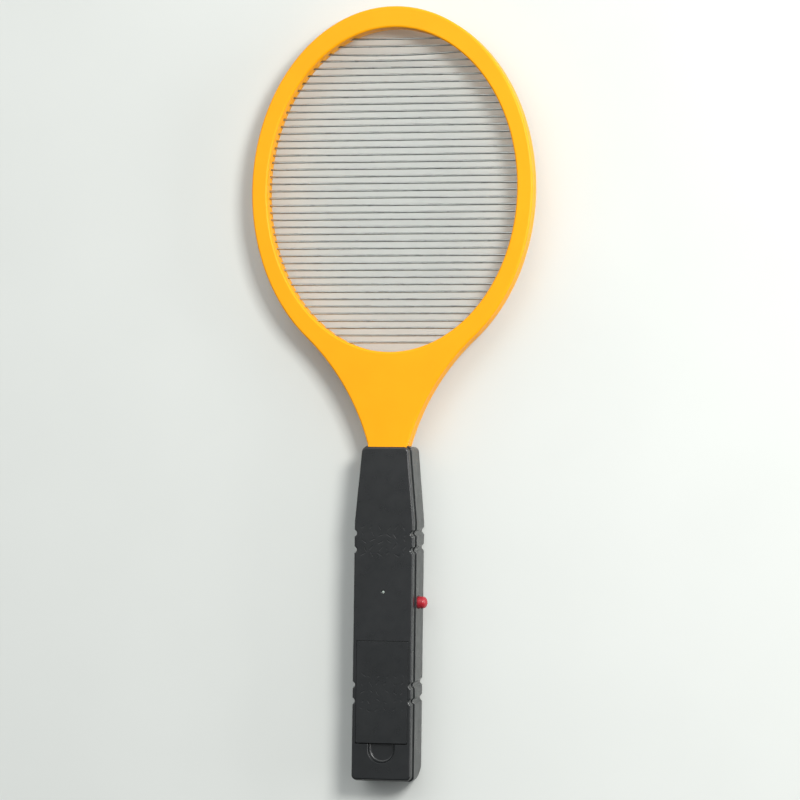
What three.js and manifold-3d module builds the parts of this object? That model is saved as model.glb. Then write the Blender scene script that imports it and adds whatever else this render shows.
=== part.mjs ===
// Electric fly swatter: a two-part plastic racket head with a grid of parallel live wires,
// clamped by its tang in a battery handle with a push button, a high-voltage board and two AA cells.
// Millimetres. X to the right, Y from the handle towards the tip of the head, Z out of the front face.
// The origin is under the middle of the whole length, on the flat back of the handle.

import * as THREE from "three";
import { mergeVertices } from "three/addons/utils/BufferGeometryUtils.js";
import Module from "manifold-3d";

const wasm = await Module();
wasm.setup();

// ---------------------------------------------------------------- driving dimensions

// Clearances
const FIT_GAP = 0.3; // between pieces that sit against each other
const SLIDE_GAP = 0.25; // around a piece that slides or turns in another

// Head
const HEAD_HALF_WIDTH = 80.5;
const HEAD_HALF_LENGTH = 102.6;
const HEAD_DEPTH = 11.5;
const RIM_MARGIN = 0.6; // outside a screw boss, at the two sides
const RIM_WIDTH_ENDS = 12.0; // at the tip and above the throat
const HEAD_WALL = 2.0;
const HEAD_EDGE = 1.0; // chamfer on every long edge of the head
const NECK_LENGTH = 142.9; // from the middle of the head down to the handle
const NECK_WIDTH = 22.8;
const THROAT_START_DROP = 82.5; // how far below the middle of the head the throat curves begin
const TANG_WIDTH = 22.0;
const TANG_LENGTH = 32.5;
const TANG_SCREW_DROP = 17.5; // below the top of the handle

// Grid
const WIRE_COUNT = 43;
const WIRE_PITCH = 4.05;
const WIRE_DIAMETER = 1.0;
const WIRE_BITE = 1.2; // how far a wire's free end reaches into the rim wall
const BUS_OFFSET = 2.4; // from the inner edge of the rim to the bus bar
const BUS_WIDTH = 0.8;
const BUS_TAIL = 3.0; // below the lowest wire, where the lead is joined
const BUS_ROOM = 0.6; // between a bus bar and a screw boss
const LEAD_DIAMETER = 1.6;

// Handle
const HANDLE_LENGTH = 185.5;
const HANDLE_TOP_WIDTH = 28.0;
const TAPER_LENGTH = 42.0;
const FRONT_SHELL_DEPTH = 5.5;
const FRONT_SHELL_STEP = 0.65; // the front shell is this much narrower on each side
const FRONT_EDGE = 1.0;
const BACK_EDGE = 2.0;
const HANDLE_WALL = 2.2;
const HANDLE_SKIN = 2.0; // thickness of the front and back faces
const TOP_CORNER = 3.0;
const BOTTOM_CORNER = 2.6;
const HEEL_LENGTH = 10.5; // the back of the butt end is rounded off over this length
const HEEL_DEPTH = 15.0;
const GROOVE_HEIGHT = 4.2;
const GROOVE_DEPTH = 1.25;
const GROOVE_TILT = 5.0; // degrees; a groove is higher at the back than at the front
const GROOVE_DROPS = [47.6, 56.8, 131.4, 140.4]; // below the top of the handle

// Battery compartment
const CELL_DIAMETER = 14.0;
const CELL_LENGTH = 49.4; // without the raised positive contact
const CELL_NUB_DIAMETER = 5.5;
const CELL_NUB_LENGTH = 1.0;
const CELL_SPACING = 0.4; // between the two cells
const CELL_SIDE_ROOM = 1.1; // from a cell to the side wall
const CELL_CRADLE = 3.0; // from the back skin to the underside of a cell
const CELL_TOP_ROOM = 6.0; // from a cell to the front face
const CONTACT_THICKNESS = 0.4;
const SPRING_LENGTH = 4.6;
const SPRING_RADIUS = 3.2;
const SPRING_WIRE = 0.7;
const SPRING_TURNS = 3;
const BULKHEAD = 1.5;
const COVER_WIDTH = 29.0;
const COVER_THICKNESS = 1.8;
const COVER_BUTT_MARGIN = 21.1; // from the butt end to the lower edge of the cover
const COVER_LEDGE = 1.4;
const COVER_SWING_ROOM = 0.5; // at the free edge of the cover
const NAIL_RECESS_WIDTH = 15.0;
const NAIL_RECESS_LENGTH = 11.0;
const NAIL_RECESS_DEPTH = 3.0;

// Button and switch
const BUTTON_DIAMETER = 6.7;
const BUTTON_PROTRUSION = 4.9;
const BUTTON_FLANGE = 1.1; // both how far the flange stands out and how thick it is
const BUTTON_TRAVEL = 1.2;
const BUTTON_DROP = 86.6; // below the top of the handle
const SWITCH_SIZE = 6.2;
const SWITCH_DEPTH = 3.6;
const SWITCH_BACK = 0.7; // thickness behind the plunger
const PLUNGER_DIAMETER = 3.4;
const PLUNGER_REACH = 1.9; // how far the plunger stands out of the switch

// Circuit board
const BOARD_LENGTH = 60.5;
const BOARD_THICKNESS = 1.4;
const BOARD_HEIGHT = 5.0; // of the posts that carry it, above the inside of the back skin
const BOARD_GAP = 4.5; // from the end of the tang to the board
const LED_DROP = 81.0; // below the top of the handle
const LED_HOLE_DIAMETER = 2.0;

// Screws: head diameter, head height, shank diameter, shank length
const HEAD_SCREW = { head: 3.6, headHeight: 1.2, shank: 1.8, length: 7.2 };
const HANDLE_SCREW = { head: 4.0, headHeight: 1.6, shank: 2.4, length: 10.5 };
const BOARD_SCREW = { head: 3.8, headHeight: 1.3, shank: 1.8, length: 5.0 };
const BOSS_WALL = 1.2;
const HEAD_BOSS_WALL = 0.5; // thinner: the counterbore and the boss are at different heights
const BOSS_SIDE_ROOM = 1.1; // from a handle screw boss to the side wall
const LOWER_BOSS_DROP = 4.7; // from the lower bulkhead to a boss

// ---------------------------------------------------------------- places worked out from them

const totalLength = HEAD_HALF_LENGTH + NECK_LENGTH + HANDLE_LENGTH;
const headY = totalLength / 2 - HEAD_HALF_LENGTH;
const handleTopY = headY - NECK_LENGTH;
const buttY = handleTopY - HANDLE_LENGTH;

const handleHalf = CELL_DIAMETER + CELL_SPACING / 2 + CELL_SIDE_ROOM + HANDLE_WALL;
const handleDepth = HANDLE_SKIN + CELL_CRADLE + CELL_DIAMETER + CELL_TOP_ROOM;
const frontHalf = handleHalf - FRONT_SHELL_STEP;
const wallInsideX = handleHalf - HANDLE_WALL;
const seamZ = handleDepth - FRONT_SHELL_DEPTH;
const frontInsideZ = handleDepth - HANDLE_SKIN;

const headFrontZ = seamZ - FIT_GAP;
const headBackZ = headFrontZ - HEAD_DEPTH;
const headSeamZ = (headFrontZ + headBackZ) / 2;
const headBossRadius = HEAD_SCREW.head / 2 + HEAD_BOSS_WALL;
const rimScrewInset = BUS_OFFSET + BUS_WIDTH + BUS_ROOM + headBossRadius; // from the opening
const rimWidth = rimScrewInset + headBossRadius + RIM_MARGIN;
const openingHalfWidth = HEAD_HALF_WIDTH - rimWidth;
const openingHalfLength = HEAD_HALF_LENGTH - RIM_WIDTH_ENDS;
const backRimTopZ = headSeamZ - FIT_GAP / 2;
const frontRimBottomZ = headSeamZ + FIT_GAP / 2;
const wireZ = backRimTopZ - WIRE_DIAMETER / 2 - 0.05;
const neckEndY = handleTopY + FIT_GAP / 2;
const tangEndY = handleTopY - TANG_LENGTH;
const tangScrewY = handleTopY - TANG_SCREW_DROP;

const cellX = CELL_DIAMETER / 2 + CELL_SPACING / 2;
const cellZ = HANDLE_SKIN + CELL_CRADLE + CELL_DIAMETER / 2;
const coverBottomY = buttY + COVER_BUTT_MARGIN;
const bayBottomY = coverBottomY;
const bayLength = CELL_LENGTH + CELL_NUB_LENGTH + SPRING_LENGTH + 2 * CONTACT_THICKNESS + 4 * FIT_GAP;
const bayTopY = bayBottomY + bayLength;
const coverTopY = bayTopY - 0.8;
const cellBottomY = bayBottomY + FIT_GAP + CONTACT_THICKNESS + FIT_GAP + SPRING_LENGTH;
const bulkheadTopZ = cellZ + 5.5;

const buttonY = handleTopY - BUTTON_DROP;
const buttonZ = handleDepth / 2;
const boardZ = HANDLE_SKIN + BOARD_HEIGHT + FIT_GAP;
const boardTopZ = boardZ + BOARD_THICKNESS;
const boardTopY = tangEndY - BOARD_GAP;
const boardBottomY = boardTopY - BOARD_LENGTH;
const onBoardZ = boardTopZ + FIT_GAP;
const ledY = handleTopY - LED_DROP;
const bossRadius = HANDLE_SCREW.head / 2 + SLIDE_GAP + BOSS_WALL;
const bossX = wallInsideX - bossRadius - BOSS_SIDE_ROOM;
const upperBossY = bayTopY + BULKHEAD + bossRadius + 0.5;
const lowerBossY = bayBottomY - BULKHEAD - LOWER_BOSS_DROP - bossRadius;
const bossSeamZ = handleDepth / 2;
const handleScrewPlaces = [
  [0, tangScrewY],
  [-bossX, upperBossY],
  [bossX, upperBossY],
  [-bossX, lowerBossY],
  [bossX, lowerBossY],
];

// ---------------------------------------------------------------- materials

function material(color, roughness, metalness = 0) {
  return new THREE.MeshStandardMaterial({ color, roughness, metalness });
}

const yellowPlastic = material(0xfdb916, 0.45);
const blackPlastic = material(0x2e3133, 0.6);
const redPlastic = material(0xc22a35, 0.3);
const wireSteel = material(0xb8bcb8, 0.35, 0.9);
const screwSteel = material(0x8f9396, 0.4, 0.9);
const springSteel = material(0xc9ccce, 0.3, 0.9);
const boardResin = material(0x9a7b3d, 0.6);
const darkResin = material(0x1b1b1d, 0.5);
const ferrite = material(0x2a2a2c, 0.75);
const nylon = material(0xe9e4d4, 0.5);
const windingTape = material(0xe0b72c, 0.4);
const capacitorEpoxy = material(0x8c2f22, 0.35);
const ceramicBlue = material(0x2f63a8, 0.5);
const resistorCoat = material(0xc9a877, 0.5);
const lens = material(0xb9c2bb, 0.2);
const redLead = material(0xb3201f, 0.5);
const blackLead = material(0x202022, 0.5);
const cellJacket = material(0x2f7a4a, 0.4, 0.3);

// ---------------------------------------------------------------- shape helpers

// A closed geometry as a manifold solid. Faces that collapse when vertices merge are dropped.
function solid(geometry) {
  const bare = geometry.index ? geometry.toNonIndexed() : geometry.clone();
  bare.deleteAttribute("normal");
  bare.deleteAttribute("uv");
  const merged = mergeVertices(bare, 1e-4);
  const corners = merged.index.array;
  const kept = [];
  for (let i = 0; i < corners.length; i += 3) {
    const [a, b, c] = [corners[i], corners[i + 1], corners[i + 2]];
    if (a !== b && b !== c && c !== a) {
      kept.push(a, b, c);
    }
  }
  const mesh = new wasm.Mesh({
    numProp: 3,
    vertProperties: new Float32Array(merged.attributes.position.array),
    triVerts: new Uint32Array(kept),
  });
  return new wasm.Manifold(mesh);
}

function meshOf(name, body, look) {
  const found = body.getMesh();
  const geometry = new THREE.BufferGeometry();
  geometry.setAttribute("position", new THREE.BufferAttribute(new Float32Array(found.vertProperties), 3));
  geometry.setIndex(new THREE.BufferAttribute(new Uint32Array(found.triVerts), 1));
  geometry.computeVertexNormals();
  const mesh = new THREE.Mesh(geometry, look);
  mesh.name = name;
  return mesh;
}

function joined(solids) {
  return solids.reduce((whole, piece) => whole.add(piece));
}

function block(x0, x1, y0, y1, z0, z1) {
  const geometry = new THREE.BoxGeometry(x1 - x0, y1 - y0, z1 - z0);
  return solid(geometry.translate((x0 + x1) / 2, (y0 + y1) / 2, (z0 + z1) / 2));
}

// Round bars along each axis
function barZ(radius, z0, z1, x, y, sides = 16) {
  const geometry = new THREE.CylinderGeometry(radius, radius, z1 - z0, sides);
  return solid(geometry.rotateX(Math.PI / 2).translate(x, y, (z0 + z1) / 2));
}

function barX(radius, x0, x1, y, z, sides = 16) {
  const geometry = new THREE.CylinderGeometry(radius, radius, x1 - x0, sides);
  return solid(geometry.rotateZ(-Math.PI / 2).translate((x0 + x1) / 2, y, z));
}

function barY(radius, y0, y1, x, z, sides = 16) {
  const geometry = new THREE.CylinderGeometry(radius, radius, y1 - y0, sides);
  return solid(geometry.translate(x, (y0 + y1) / 2, z));
}

// Points along part of an ellipse, from one angle to another
function arc(cx, cy, rx, ry, from, to, steps) {
  return Array.from({ length: steps + 1 }, (_, i) => {
    const angle = from + ((to - from) * i) / steps;
    return new THREE.Vector2(cx + rx * Math.cos(angle), cy + ry * Math.sin(angle));
  });
}

// An outline pushed out from z0 to z1, with its edges chamfered or rounded within those limits
function prism(points, z0, z1, { edge = 0, steps = 1, holes = [] } = {}) {
  const shape = new THREE.Shape(points);
  shape.holes = holes.map((hole) => new THREE.Path(hole));
  const geometry = new THREE.ExtrudeGeometry(shape, {
    depth: z1 - z0 - 2 * edge,
    bevelEnabled: edge > 0,
    bevelThickness: edge,
    bevelSize: edge,
    bevelOffset: -edge,
    bevelSegments: steps,
  });
  return solid(geometry.translate(0, 0, z0 + edge));
}

// A side profile, given as (y, z) points, pushed out along X
function sideProfile(points, x0, x1) {
  const shape = new THREE.Shape(points);
  const geometry = new THREE.ExtrudeGeometry(shape, { depth: x1 - x0, bevelEnabled: false });
  geometry.applyMatrix4(new THREE.Matrix4().set(0, 0, 1, x0, 1, 0, 0, 0, 0, 1, 0, 0, 0, 0, 0, 1));
  return solid(geometry);
}

// A round tube along a smooth curve through points
function tubeAlong(points, radius, steps, sides = 6) {
  const curve = new THREE.CatmullRomCurve3(points.map((p) => new THREE.Vector3(...p)));
  const section = new THREE.Shape(arc(0, 0, radius, radius, 0, 2 * Math.PI, sides).slice(0, -1));
  return solid(new THREE.ExtrudeGeometry(section, { steps, bevelEnabled: false, extrudePath: curve }));
}

function turned(profile, sides = 20) {
  const points = profile.map(([radius, height]) => new THREE.Vector2(radius, height));
  return new THREE.LatheGeometry(points, sides).rotateX(Math.PI / 2);
}

function roundedRectangle(halfX, halfY, radius, steps = 4) {
  const corners = [
    [halfX - radius, -halfY + radius, -Math.PI / 2],
    [halfX - radius, halfY - radius, 0],
    [-halfX + radius, halfY - radius, Math.PI / 2],
    [-halfX + radius, -halfY + radius, Math.PI],
  ];
  return corners.flatMap(([x, y, from]) => arc(x, y, radius, radius, from, from + Math.PI / 2, steps));
}

// ---------------------------------------------------------------- screws

// A pan-head screw with a cross recess. Its head faces -Z and its shank points to +Z.
function screw(name, size, x, y, seatZ) {
  const head = size.head / 2;
  const shank = size.shank / 2;
  const dome = size.headHeight * 0.35;
  const body = solid(
    turned([
      [0, -size.headHeight],
      [head * 0.6, -size.headHeight],
      [head, -size.headHeight + dome],
      [head, 0],
      [shank, 0],
      [shank, size.length],
      [0, size.length],
    ], 12).translate(x, y, seatZ),
  );
  const slot = size.head * 0.08;
  const reach = size.head * 0.3;
  const outside = seatZ - size.headHeight - 1;
  const bottom = seatZ - size.headHeight * 0.4;
  const recess = block(x - reach, x + reach, y - slot, y + slot, outside, bottom).add(
    block(x - slot, x + slot, y - reach, y + reach, outside, bottom),
  );
  return meshOf(name, body.subtract(recess), screwSteel);
}

// ---------------------------------------------------------------- head

// Half of the opening's or the bus bar's width at a height, for an ellipse grown by an offset
function rimX(offset, y) {
  const reach = (y - headY) / (openingHalfLength + offset);
  return (openingHalfWidth + offset) * Math.sqrt(1 - reach * reach);
}

function rimEllipse(offset, steps = 64) {
  const [rx, ry] = [openingHalfWidth + offset, openingHalfLength + offset];
  return arc(0, headY, rx, ry, 0, 2 * Math.PI, steps).slice(0, -1);
}

// The ellipse of the head run into the neck by one concave arc on each side, shrunk by an inset
function headOutline(inset, endY) {
  const a = HEAD_HALF_WIDTH - inset;
  const b = HEAD_HALF_LENGTH - inset;
  const start = -Math.asin(THROAT_START_DROP / HEAD_HALF_LENGTH);
  const from = new THREE.Vector2(a * Math.cos(start), headY + b * Math.sin(start));
  const to = new THREE.Vector2(NECK_WIDTH / 2 - inset, neckEndY);
  const out = new THREE.Vector2(Math.cos(start) / a, Math.sin(start) / b).normalize();
  const across = from.clone().sub(to);
  const radius = -across.lengthSq() / (2 * out.dot(across));
  const centre = from.clone().addScaledVector(out, radius);
  const first = Math.atan2(to.y - centre.y, to.x - centre.x);
  const last = Math.atan2(from.y - centre.y, from.x - centre.x);
  const throat = arc(centre.x, centre.y, radius, radius, first, last, 9);
  const mirrored = throat.map((p) => new THREE.Vector2(-p.x, p.y)).reverse();
  const crown = arc(0, headY, a, b, start, Math.PI - start, 60).slice(1, -1);
  const foot = [new THREE.Vector2(-to.x, endY), new THREE.Vector2(to.x, endY)];
  return [...throat, ...crown, ...mirrored, ...foot];
}

// Screw places: five round the rim and two in the throat
const rimScrewX = openingHalfWidth + rimScrewInset;
const rimScrewLength = openingHalfLength + rimScrewInset;
const headScrewPlaces = [
  ...[90, 33, 147, -22, 202].map((degrees) => {
    const angle = THREE.MathUtils.degToRad(degrees);
    return [rimScrewX * Math.cos(angle), headY + rimScrewLength * Math.sin(angle)];
  }),
  [-19, headY - openingHalfLength - 11.5],
  [19, headY - openingHalfLength - 11.5],
];

function headBlank() {
  const below = neckEndY - 4;
  const ring = prism(headOutline(0, below), headBackZ, headFrontZ, {
    edge: HEAD_EDGE,
    holes: [rimEllipse(0)],
  });
  const aboveHandle = block(-200, 200, neckEndY, 400, -50, 100);
  const tang = block(-TANG_WIDTH / 2, TANG_WIDTH / 2, tangEndY, neckEndY + 1, headBackZ, headFrontZ);
  return ring.intersect(aboveHandle).add(tang);
}

// The hollow inside one half of the head, open at the end of the tang
function headHollow(z0, z1) {
  const wide = prism(headOutline(HEAD_WALL, neckEndY), z0, z1, { holes: [rimEllipse(HEAD_WALL)] });
  const half = TANG_WIDTH / 2 - HEAD_WALL * 0.8;
  const throughTang = block(-half, half, tangEndY - 1, neckEndY + 0.5, z0, z1);
  const rib = block(-0.6, 0.6, neckEndY, headY - openingHalfLength, z0 - 1, z1 + 1);
  return wide.add(throughTang).subtract(rib);
}

const tangHole = bossRadius + FIT_GAP;

function headFrontFrame() {
  const half = headBlank().intersect(block(-200, 200, -400, 400, frontRimBottomZ, 100));
  const floorZ = headFrontZ - HEAD_WALL;
  let body = half.subtract(headHollow(frontRimBottomZ - 1, floorZ));
  for (const [x, y] of headScrewPlaces) {
    body = body.add(barZ(headBossRadius, frontRimBottomZ, floorZ + 0.5, x, y, 12));
    body = body.subtract(barZ(HEAD_SCREW.shank / 2 + 0.2, frontRimBottomZ - 1, floorZ + 1.1, x, y, 10));
  }
  body = body.add(barZ(tangHole + HEAD_WALL * 0.6, frontRimBottomZ, floorZ + 0.5, 0, tangScrewY));
  body = body.subtract(barZ(tangHole, 0, 100, 0, tangScrewY));
  return meshOf("head_front_frame", body, yellowPlastic);
}

const headScrewSeatZ = headBackZ + HEAD_SCREW.headHeight + 0.3;

function headRearFrame() {
  const half = headBlank().intersect(block(-200, 200, -400, 400, -50, backRimTopZ));
  const floorZ = headBackZ + HEAD_WALL;
  let body = half.subtract(headHollow(floorZ, backRimTopZ + 1));
  for (const [x, y] of headScrewPlaces) {
    body = body.add(barZ(headBossRadius, floorZ - 0.5, backRimTopZ, x, y, 12));
    body = body.subtract(barZ(HEAD_SCREW.shank / 2 + FIT_GAP, headBackZ - 1, backRimTopZ + 1, x, y, 10));
    const counterbore = HEAD_SCREW.head / 2 + FIT_GAP;
    body = body.subtract(barZ(counterbore, headBackZ - 1, headScrewSeatZ + 0.2, x, y, 12));
  }
  body = body.add(barZ(tangHole + HEAD_WALL * 0.6, floorZ - 0.5, backRimTopZ, 0, tangScrewY));
  body = body.subtract(barZ(tangHole, -50, 100, 0, tangScrewY));
  const slot = WIRE_DIAMETER / 2 + FIT_GAP;
  for (const y of wireHeights) {
    const reach = rimX(HEAD_WALL + 1, y);
    body = body.subtract(block(-reach, reach, y - slot, y + slot, wireZ - slot, backRimTopZ + 1));
  }
  return meshOf("head_rear_frame", body, yellowPlastic);
}

// ---------------------------------------------------------------- grid

const lowestWireY = headY - ((WIRE_COUNT - 1) / 2) * WIRE_PITCH;
const wireHeights = Array.from({ length: WIRE_COUNT }, (_, i) => lowestWireY + i * WIRE_PITCH);
const busEndY = wireHeights[0] - BUS_TAIL;

// Every second wire hangs on the bus bar of its own side and stops short of the other one
function gridComb(name, side, firstWire) {
  const bottom = Math.asin((busEndY - headY) / (openingHalfLength + BUS_OFFSET));
  const top = -Math.asin((wireHeights[0] - 1 - headY) / (openingHalfLength + BUS_OFFSET));
  const edge = (offset, from, to) =>
    arc(0, headY, side * (openingHalfWidth + offset), openingHalfLength + offset, from, to, 30);
  const outline = [...edge(BUS_OFFSET + BUS_WIDTH, bottom, top), ...edge(BUS_OFFSET, top, bottom)];
  const half = WIRE_DIAMETER / 2;
  const pieces = [prism(outline, wireZ - half, wireZ + half)];
  for (let i = firstWire; i < WIRE_COUNT; i += 2) {
    const y = wireHeights[i];
    const fixedEnd = side * rimX(BUS_OFFSET + BUS_WIDTH / 2, y);
    const freeEnd = -side * rimX(WIRE_BITE, y);
    pieces.push(barX(half, Math.min(fixedEnd, freeEnd), Math.max(fixedEnd, freeEnd), y, wireZ, 6));
  }
  return meshOf(name, joined(pieces), wireSteel);
}

// The insulated lead from a bus bar down the hollow neck to the board
function gridLead(name, side, look) {
  const radius = LEAD_DIAMETER / 2;
  const busX = rimX(BUS_OFFSET + BUS_WIDTH / 2, busEndY);
  const laneX = TANG_WIDTH / 2 - HEAD_WALL * 0.8 - radius - 0.9;
  const route = [
    [busX - 1.2, busEndY - 1.6, wireZ],
    [busX - 4, busEndY - 5.5, wireZ],
    [12, headY - openingHalfLength - 12, headSeamZ],
    [8.4, neckEndY + 18, headSeamZ],
    [laneX, neckEndY + 3, headSeamZ],
    [laneX, tangEndY + 6, headSeamZ],
    [laneX, tangEndY, headSeamZ - 0.6],
    [laneX, boardTopY - 1.5, onBoardZ + 1.6],
    [laneX, boardTopY - 3.5, onBoardZ + radius],
  ];
  const points = route.map(([x, y, z]) => [side * x, y, z]);
  return meshOf(name, tubeAlong(points, radius, 28), look);
}

// ---------------------------------------------------------------- handle shells

// The handle seen from the front, shrunk by an inset: straight below, tapered above, corners rounded
function handleOutline(inset) {
  const half = handleHalf - inset;
  const topHalf = HANDLE_TOP_WIDTH / 2 - inset;
  const taperY = handleTopY - TAPER_LENGTH;
  const bottomY = buttY + inset;
  const topY = handleTopY - inset;
  const low = Math.max(BOTTOM_CORNER - inset, 0.5);
  const high = Math.max(TOP_CORNER - inset, 0.5);
  const lean = Math.atan2(half - topHalf, TAPER_LENGTH);
  const right = [
    ...arc(half - low, bottomY + low, low, low, -Math.PI / 2, 0, 5),
    new THREE.Vector2(half, taperY),
    ...arc(topHalf - high, topY - high, high, high, lean, Math.PI / 2, 5),
  ];
  const left = right.map((p) => new THREE.Vector2(-p.x, p.y)).reverse();
  return [...right, ...left];
}

// Everything in front of the rounded heel, as a side profile shrunk by an inset
function heelLimit(inset) {
  const length = HEEL_LENGTH - inset;
  const depth = HEEL_DEPTH - inset;
  const bottomY = buttY + inset;
  const heel = arc(bottomY + length, inset + depth, length, depth, Math.PI, 1.5 * Math.PI, 8);
  const rest = [
    new THREE.Vector2(handleTopY + 10, inset),
    new THREE.Vector2(handleTopY + 10, 100),
    new THREE.Vector2(bottomY, 100),
  ];
  return sideProfile([...heel, ...rest], -100, 100);
}

// Finger grooves across both side walls of a shell whose side is at this half width
function grooves(sideX) {
  const half = GROOVE_HEIGHT / 2;
  const slope = half / GROOVE_DEPTH;
  const section = [
    [1, -half - slope],
    [1, half + slope],
    [-GROOVE_DEPTH * 0.8, half * 0.4],
    [-GROOVE_DEPTH, 0],
    [-GROOVE_DEPTH * 0.8, -half * 0.4],
  ];
  const cuts = [];
  for (const drop of GROOVE_DROPS) {
    for (const side of [-1, 1]) {
      const outline = section.map(([out, up]) => new THREE.Vector2(side * (sideX + out), up));
      const straight = prism(outline, -handleDepth, handleDepth);
      cuts.push(straight.rotate([GROOVE_TILT, 0, 0]).translate([0, handleTopY - drop, handleDepth / 2]));
    }
  }
  return joined(cuts);
}

const screwSeatZ = bossSeamZ - FIT_GAP - 2.2;

function handleRearShell() {
  const top = seamZ - FIT_GAP;
  const blank = prism(handleOutline(0), 0, handleDepth + 10, { edge: BACK_EDGE, steps: 2 });
  const outside = blank.intersect(heelLimit(0)).intersect(block(-100, 100, -400, 400, -10, top));
  const inside = prism(handleOutline(HANDLE_WALL), HANDLE_SKIN, 100);
  const hollow = inside.intersect(heelLimit(HANDLE_SKIN));
  let body = outside.subtract(hollow);

  const fittings = [
    block(-wallInsideX - 1, wallInsideX + 1, bayTopY, bayTopY + BULKHEAD, 1, bulkheadTopZ),
    block(-wallInsideX - 1, wallInsideX + 1, bayBottomY - BULKHEAD, bayBottomY, 1, bulkheadTopZ),
  ];
  for (const share of [0.25, 0.75]) {
    const y = cellBottomY + CELL_LENGTH * share;
    fittings.push(block(-wallInsideX - 1, wallInsideX + 1, y - 1, y + 1, 1, cellZ - CELL_DIAMETER * 0.25));
  }
  const tangRib = TANG_WIDTH / 2 - 1;
  for (const y of [handleTopY - 5, tangEndY + 4]) {
    fittings.push(block(-tangRib, tangRib, y - 0.8, y + 0.8, 1, headBackZ - FIT_GAP));
  }
  for (const [x, y] of boardPostPlaces) {
    fittings.push(barZ(boardPostRadius, 1, boardZ - FIT_GAP, x, y, 16));
  }
  for (const [x, y] of handleScrewPlaces) {
    fittings.push(barZ(bossRadius, 1, bossSeamZ - FIT_GAP / 2, x, y));
  }
  body = body.add(joined(fittings));

  const cuts = [grooves(handleHalf)];
  for (const side of [-1, 1]) {
    const cellRoom = CELL_DIAMETER / 2 + FIT_GAP;
    cuts.push(barY(cellRoom, bayBottomY + 0.1, bayTopY - 0.1, side * cellX, cellZ, 20));
  }
  const tangSlot = TANG_WIDTH / 2 + SLIDE_GAP;
  const slotBottomY = handleTopY - HANDLE_WALL - 1;
  cuts.push(block(-tangSlot, tangSlot, slotBottomY, handleTopY + 1, headBackZ - FIT_GAP, 100));
  for (const [x, y] of handleScrewPlaces) {
    cuts.push(barZ(HANDLE_SCREW.head / 2 + SLIDE_GAP, -1, screwSeatZ, x, y));
    cuts.push(barZ(HANDLE_SCREW.shank / 2 + FIT_GAP, -1, bossSeamZ + 1, x, y, 16));
  }
  for (const [x, y] of boardScrewPlaces) {
    cuts.push(barZ(BOARD_SCREW.shank / 2 + 0.2, HANDLE_SKIN, boardZ + 1, x, y, 12));
  }
  cuts.push(barX(BUTTON_DIAMETER / 2 + SLIDE_GAP, wallInsideX - 1, handleHalf + 1, buttonY, buttonZ, 20));
  return meshOf("handle_rear_shell", body.subtract(joined(cuts)), blackPlastic);
}

// The fingernail recess: straight sides below the cover's edge, closed by a half circle
function nailRecessOutline(grow) {
  const half = NAIL_RECESS_WIDTH / 2 + grow;
  const straight = NAIL_RECESS_LENGTH - NAIL_RECESS_WIDTH / 2;
  const roundY = coverBottomY - straight;
  return [
    new THREE.Vector2(half, coverBottomY + 0.4),
    new THREE.Vector2(-half, coverBottomY + 0.4),
    ...arc(0, roundY, half, half, Math.PI, 2 * Math.PI, 20),
  ];
}

const coverRoomHalf = COVER_WIDTH / 2 + SLIDE_GAP;
const coverRoomBottomY = coverBottomY - COVER_SWING_ROOM;
const hingeY = coverTopY + SLIDE_GAP;
const coverInsideZ = handleDepth - COVER_THICKNESS;

function handleFrontShell() {
  const blank = prism(handleOutline(FRONT_SHELL_STEP), 0, handleDepth, { edge: FRONT_EDGE });
  const outside = blank.intersect(block(-100, 100, -400, 400, seamZ, 100));
  const hollow = prism(handleOutline(FRONT_SHELL_STEP + HANDLE_WALL), -10, frontInsideZ);
  let body = outside.subtract(hollow);

  const insideX = frontHalf - HANDLE_WALL;
  const ledgeX = COVER_WIDTH / 2 - COVER_LEDGE;
  const ledgeTop = coverInsideZ - FIT_GAP;
  const ledgeBottom = ledgeTop - 1.2;
  const recessFloorZ = handleDepth - NAIL_RECESS_DEPTH;
  const fittings = [
    block(ledgeX, insideX + 0.5, coverRoomBottomY - 1, hingeY + 1, ledgeBottom, frontInsideZ + 0.5),
    block(-insideX - 0.5, -ledgeX, coverRoomBottomY - 1, hingeY + 1, ledgeBottom, frontInsideZ + 0.5),
    prism(nailRecessOutline(BOSS_WALL), recessFloorZ - 1.2, frontInsideZ + 0.5),
    barZ(ledBodyRadius + FIT_GAP + 1, ledBaseZ + 2.5, frontInsideZ + 0.5, 0, ledY),
  ];
  const tangRib = TANG_WIDTH / 2 - 1;
  for (const y of [handleTopY - 5, tangEndY + 4]) {
    fittings.push(block(-tangRib, tangRib, y - 0.8, y + 0.8, headFrontZ + FIT_GAP, frontInsideZ + 0.5));
  }
  for (const [x, y] of handleScrewPlaces) {
    fittings.push(barZ(HANDLE_SCREW.shank / 2 + 1.6, bossSeamZ + FIT_GAP / 2, frontInsideZ + 0.5, x, y));
  }
  body = body.add(joined(fittings));

  const cuts = [
    grooves(frontHalf),
    block(-coverRoomHalf, coverRoomHalf, coverRoomBottomY, hingeY, ledgeTop, 100),
    block(-ledgeX, ledgeX, coverRoomBottomY, hingeY, ledgeBottom - 1, 100),
    prism(nailRecessOutline(0), recessFloorZ, 100),
    barZ(ledBodyRadius + FIT_GAP, 0, frontInsideZ, 0, ledY),
    barZ(LED_HOLE_DIAMETER / 2, 0, 100, 0, ledY, 16),
  ];
  for (const [x, y] of handleScrewPlaces) {
    cuts.push(barZ(HANDLE_SCREW.shank / 2 + 0.2, bossSeamZ - 1, frontInsideZ, x, y, 16));
  }
  return meshOf("handle_front_shell", body.subtract(joined(cuts)), blackPlastic);
}

// ---------------------------------------------------------------- battery cover

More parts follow.
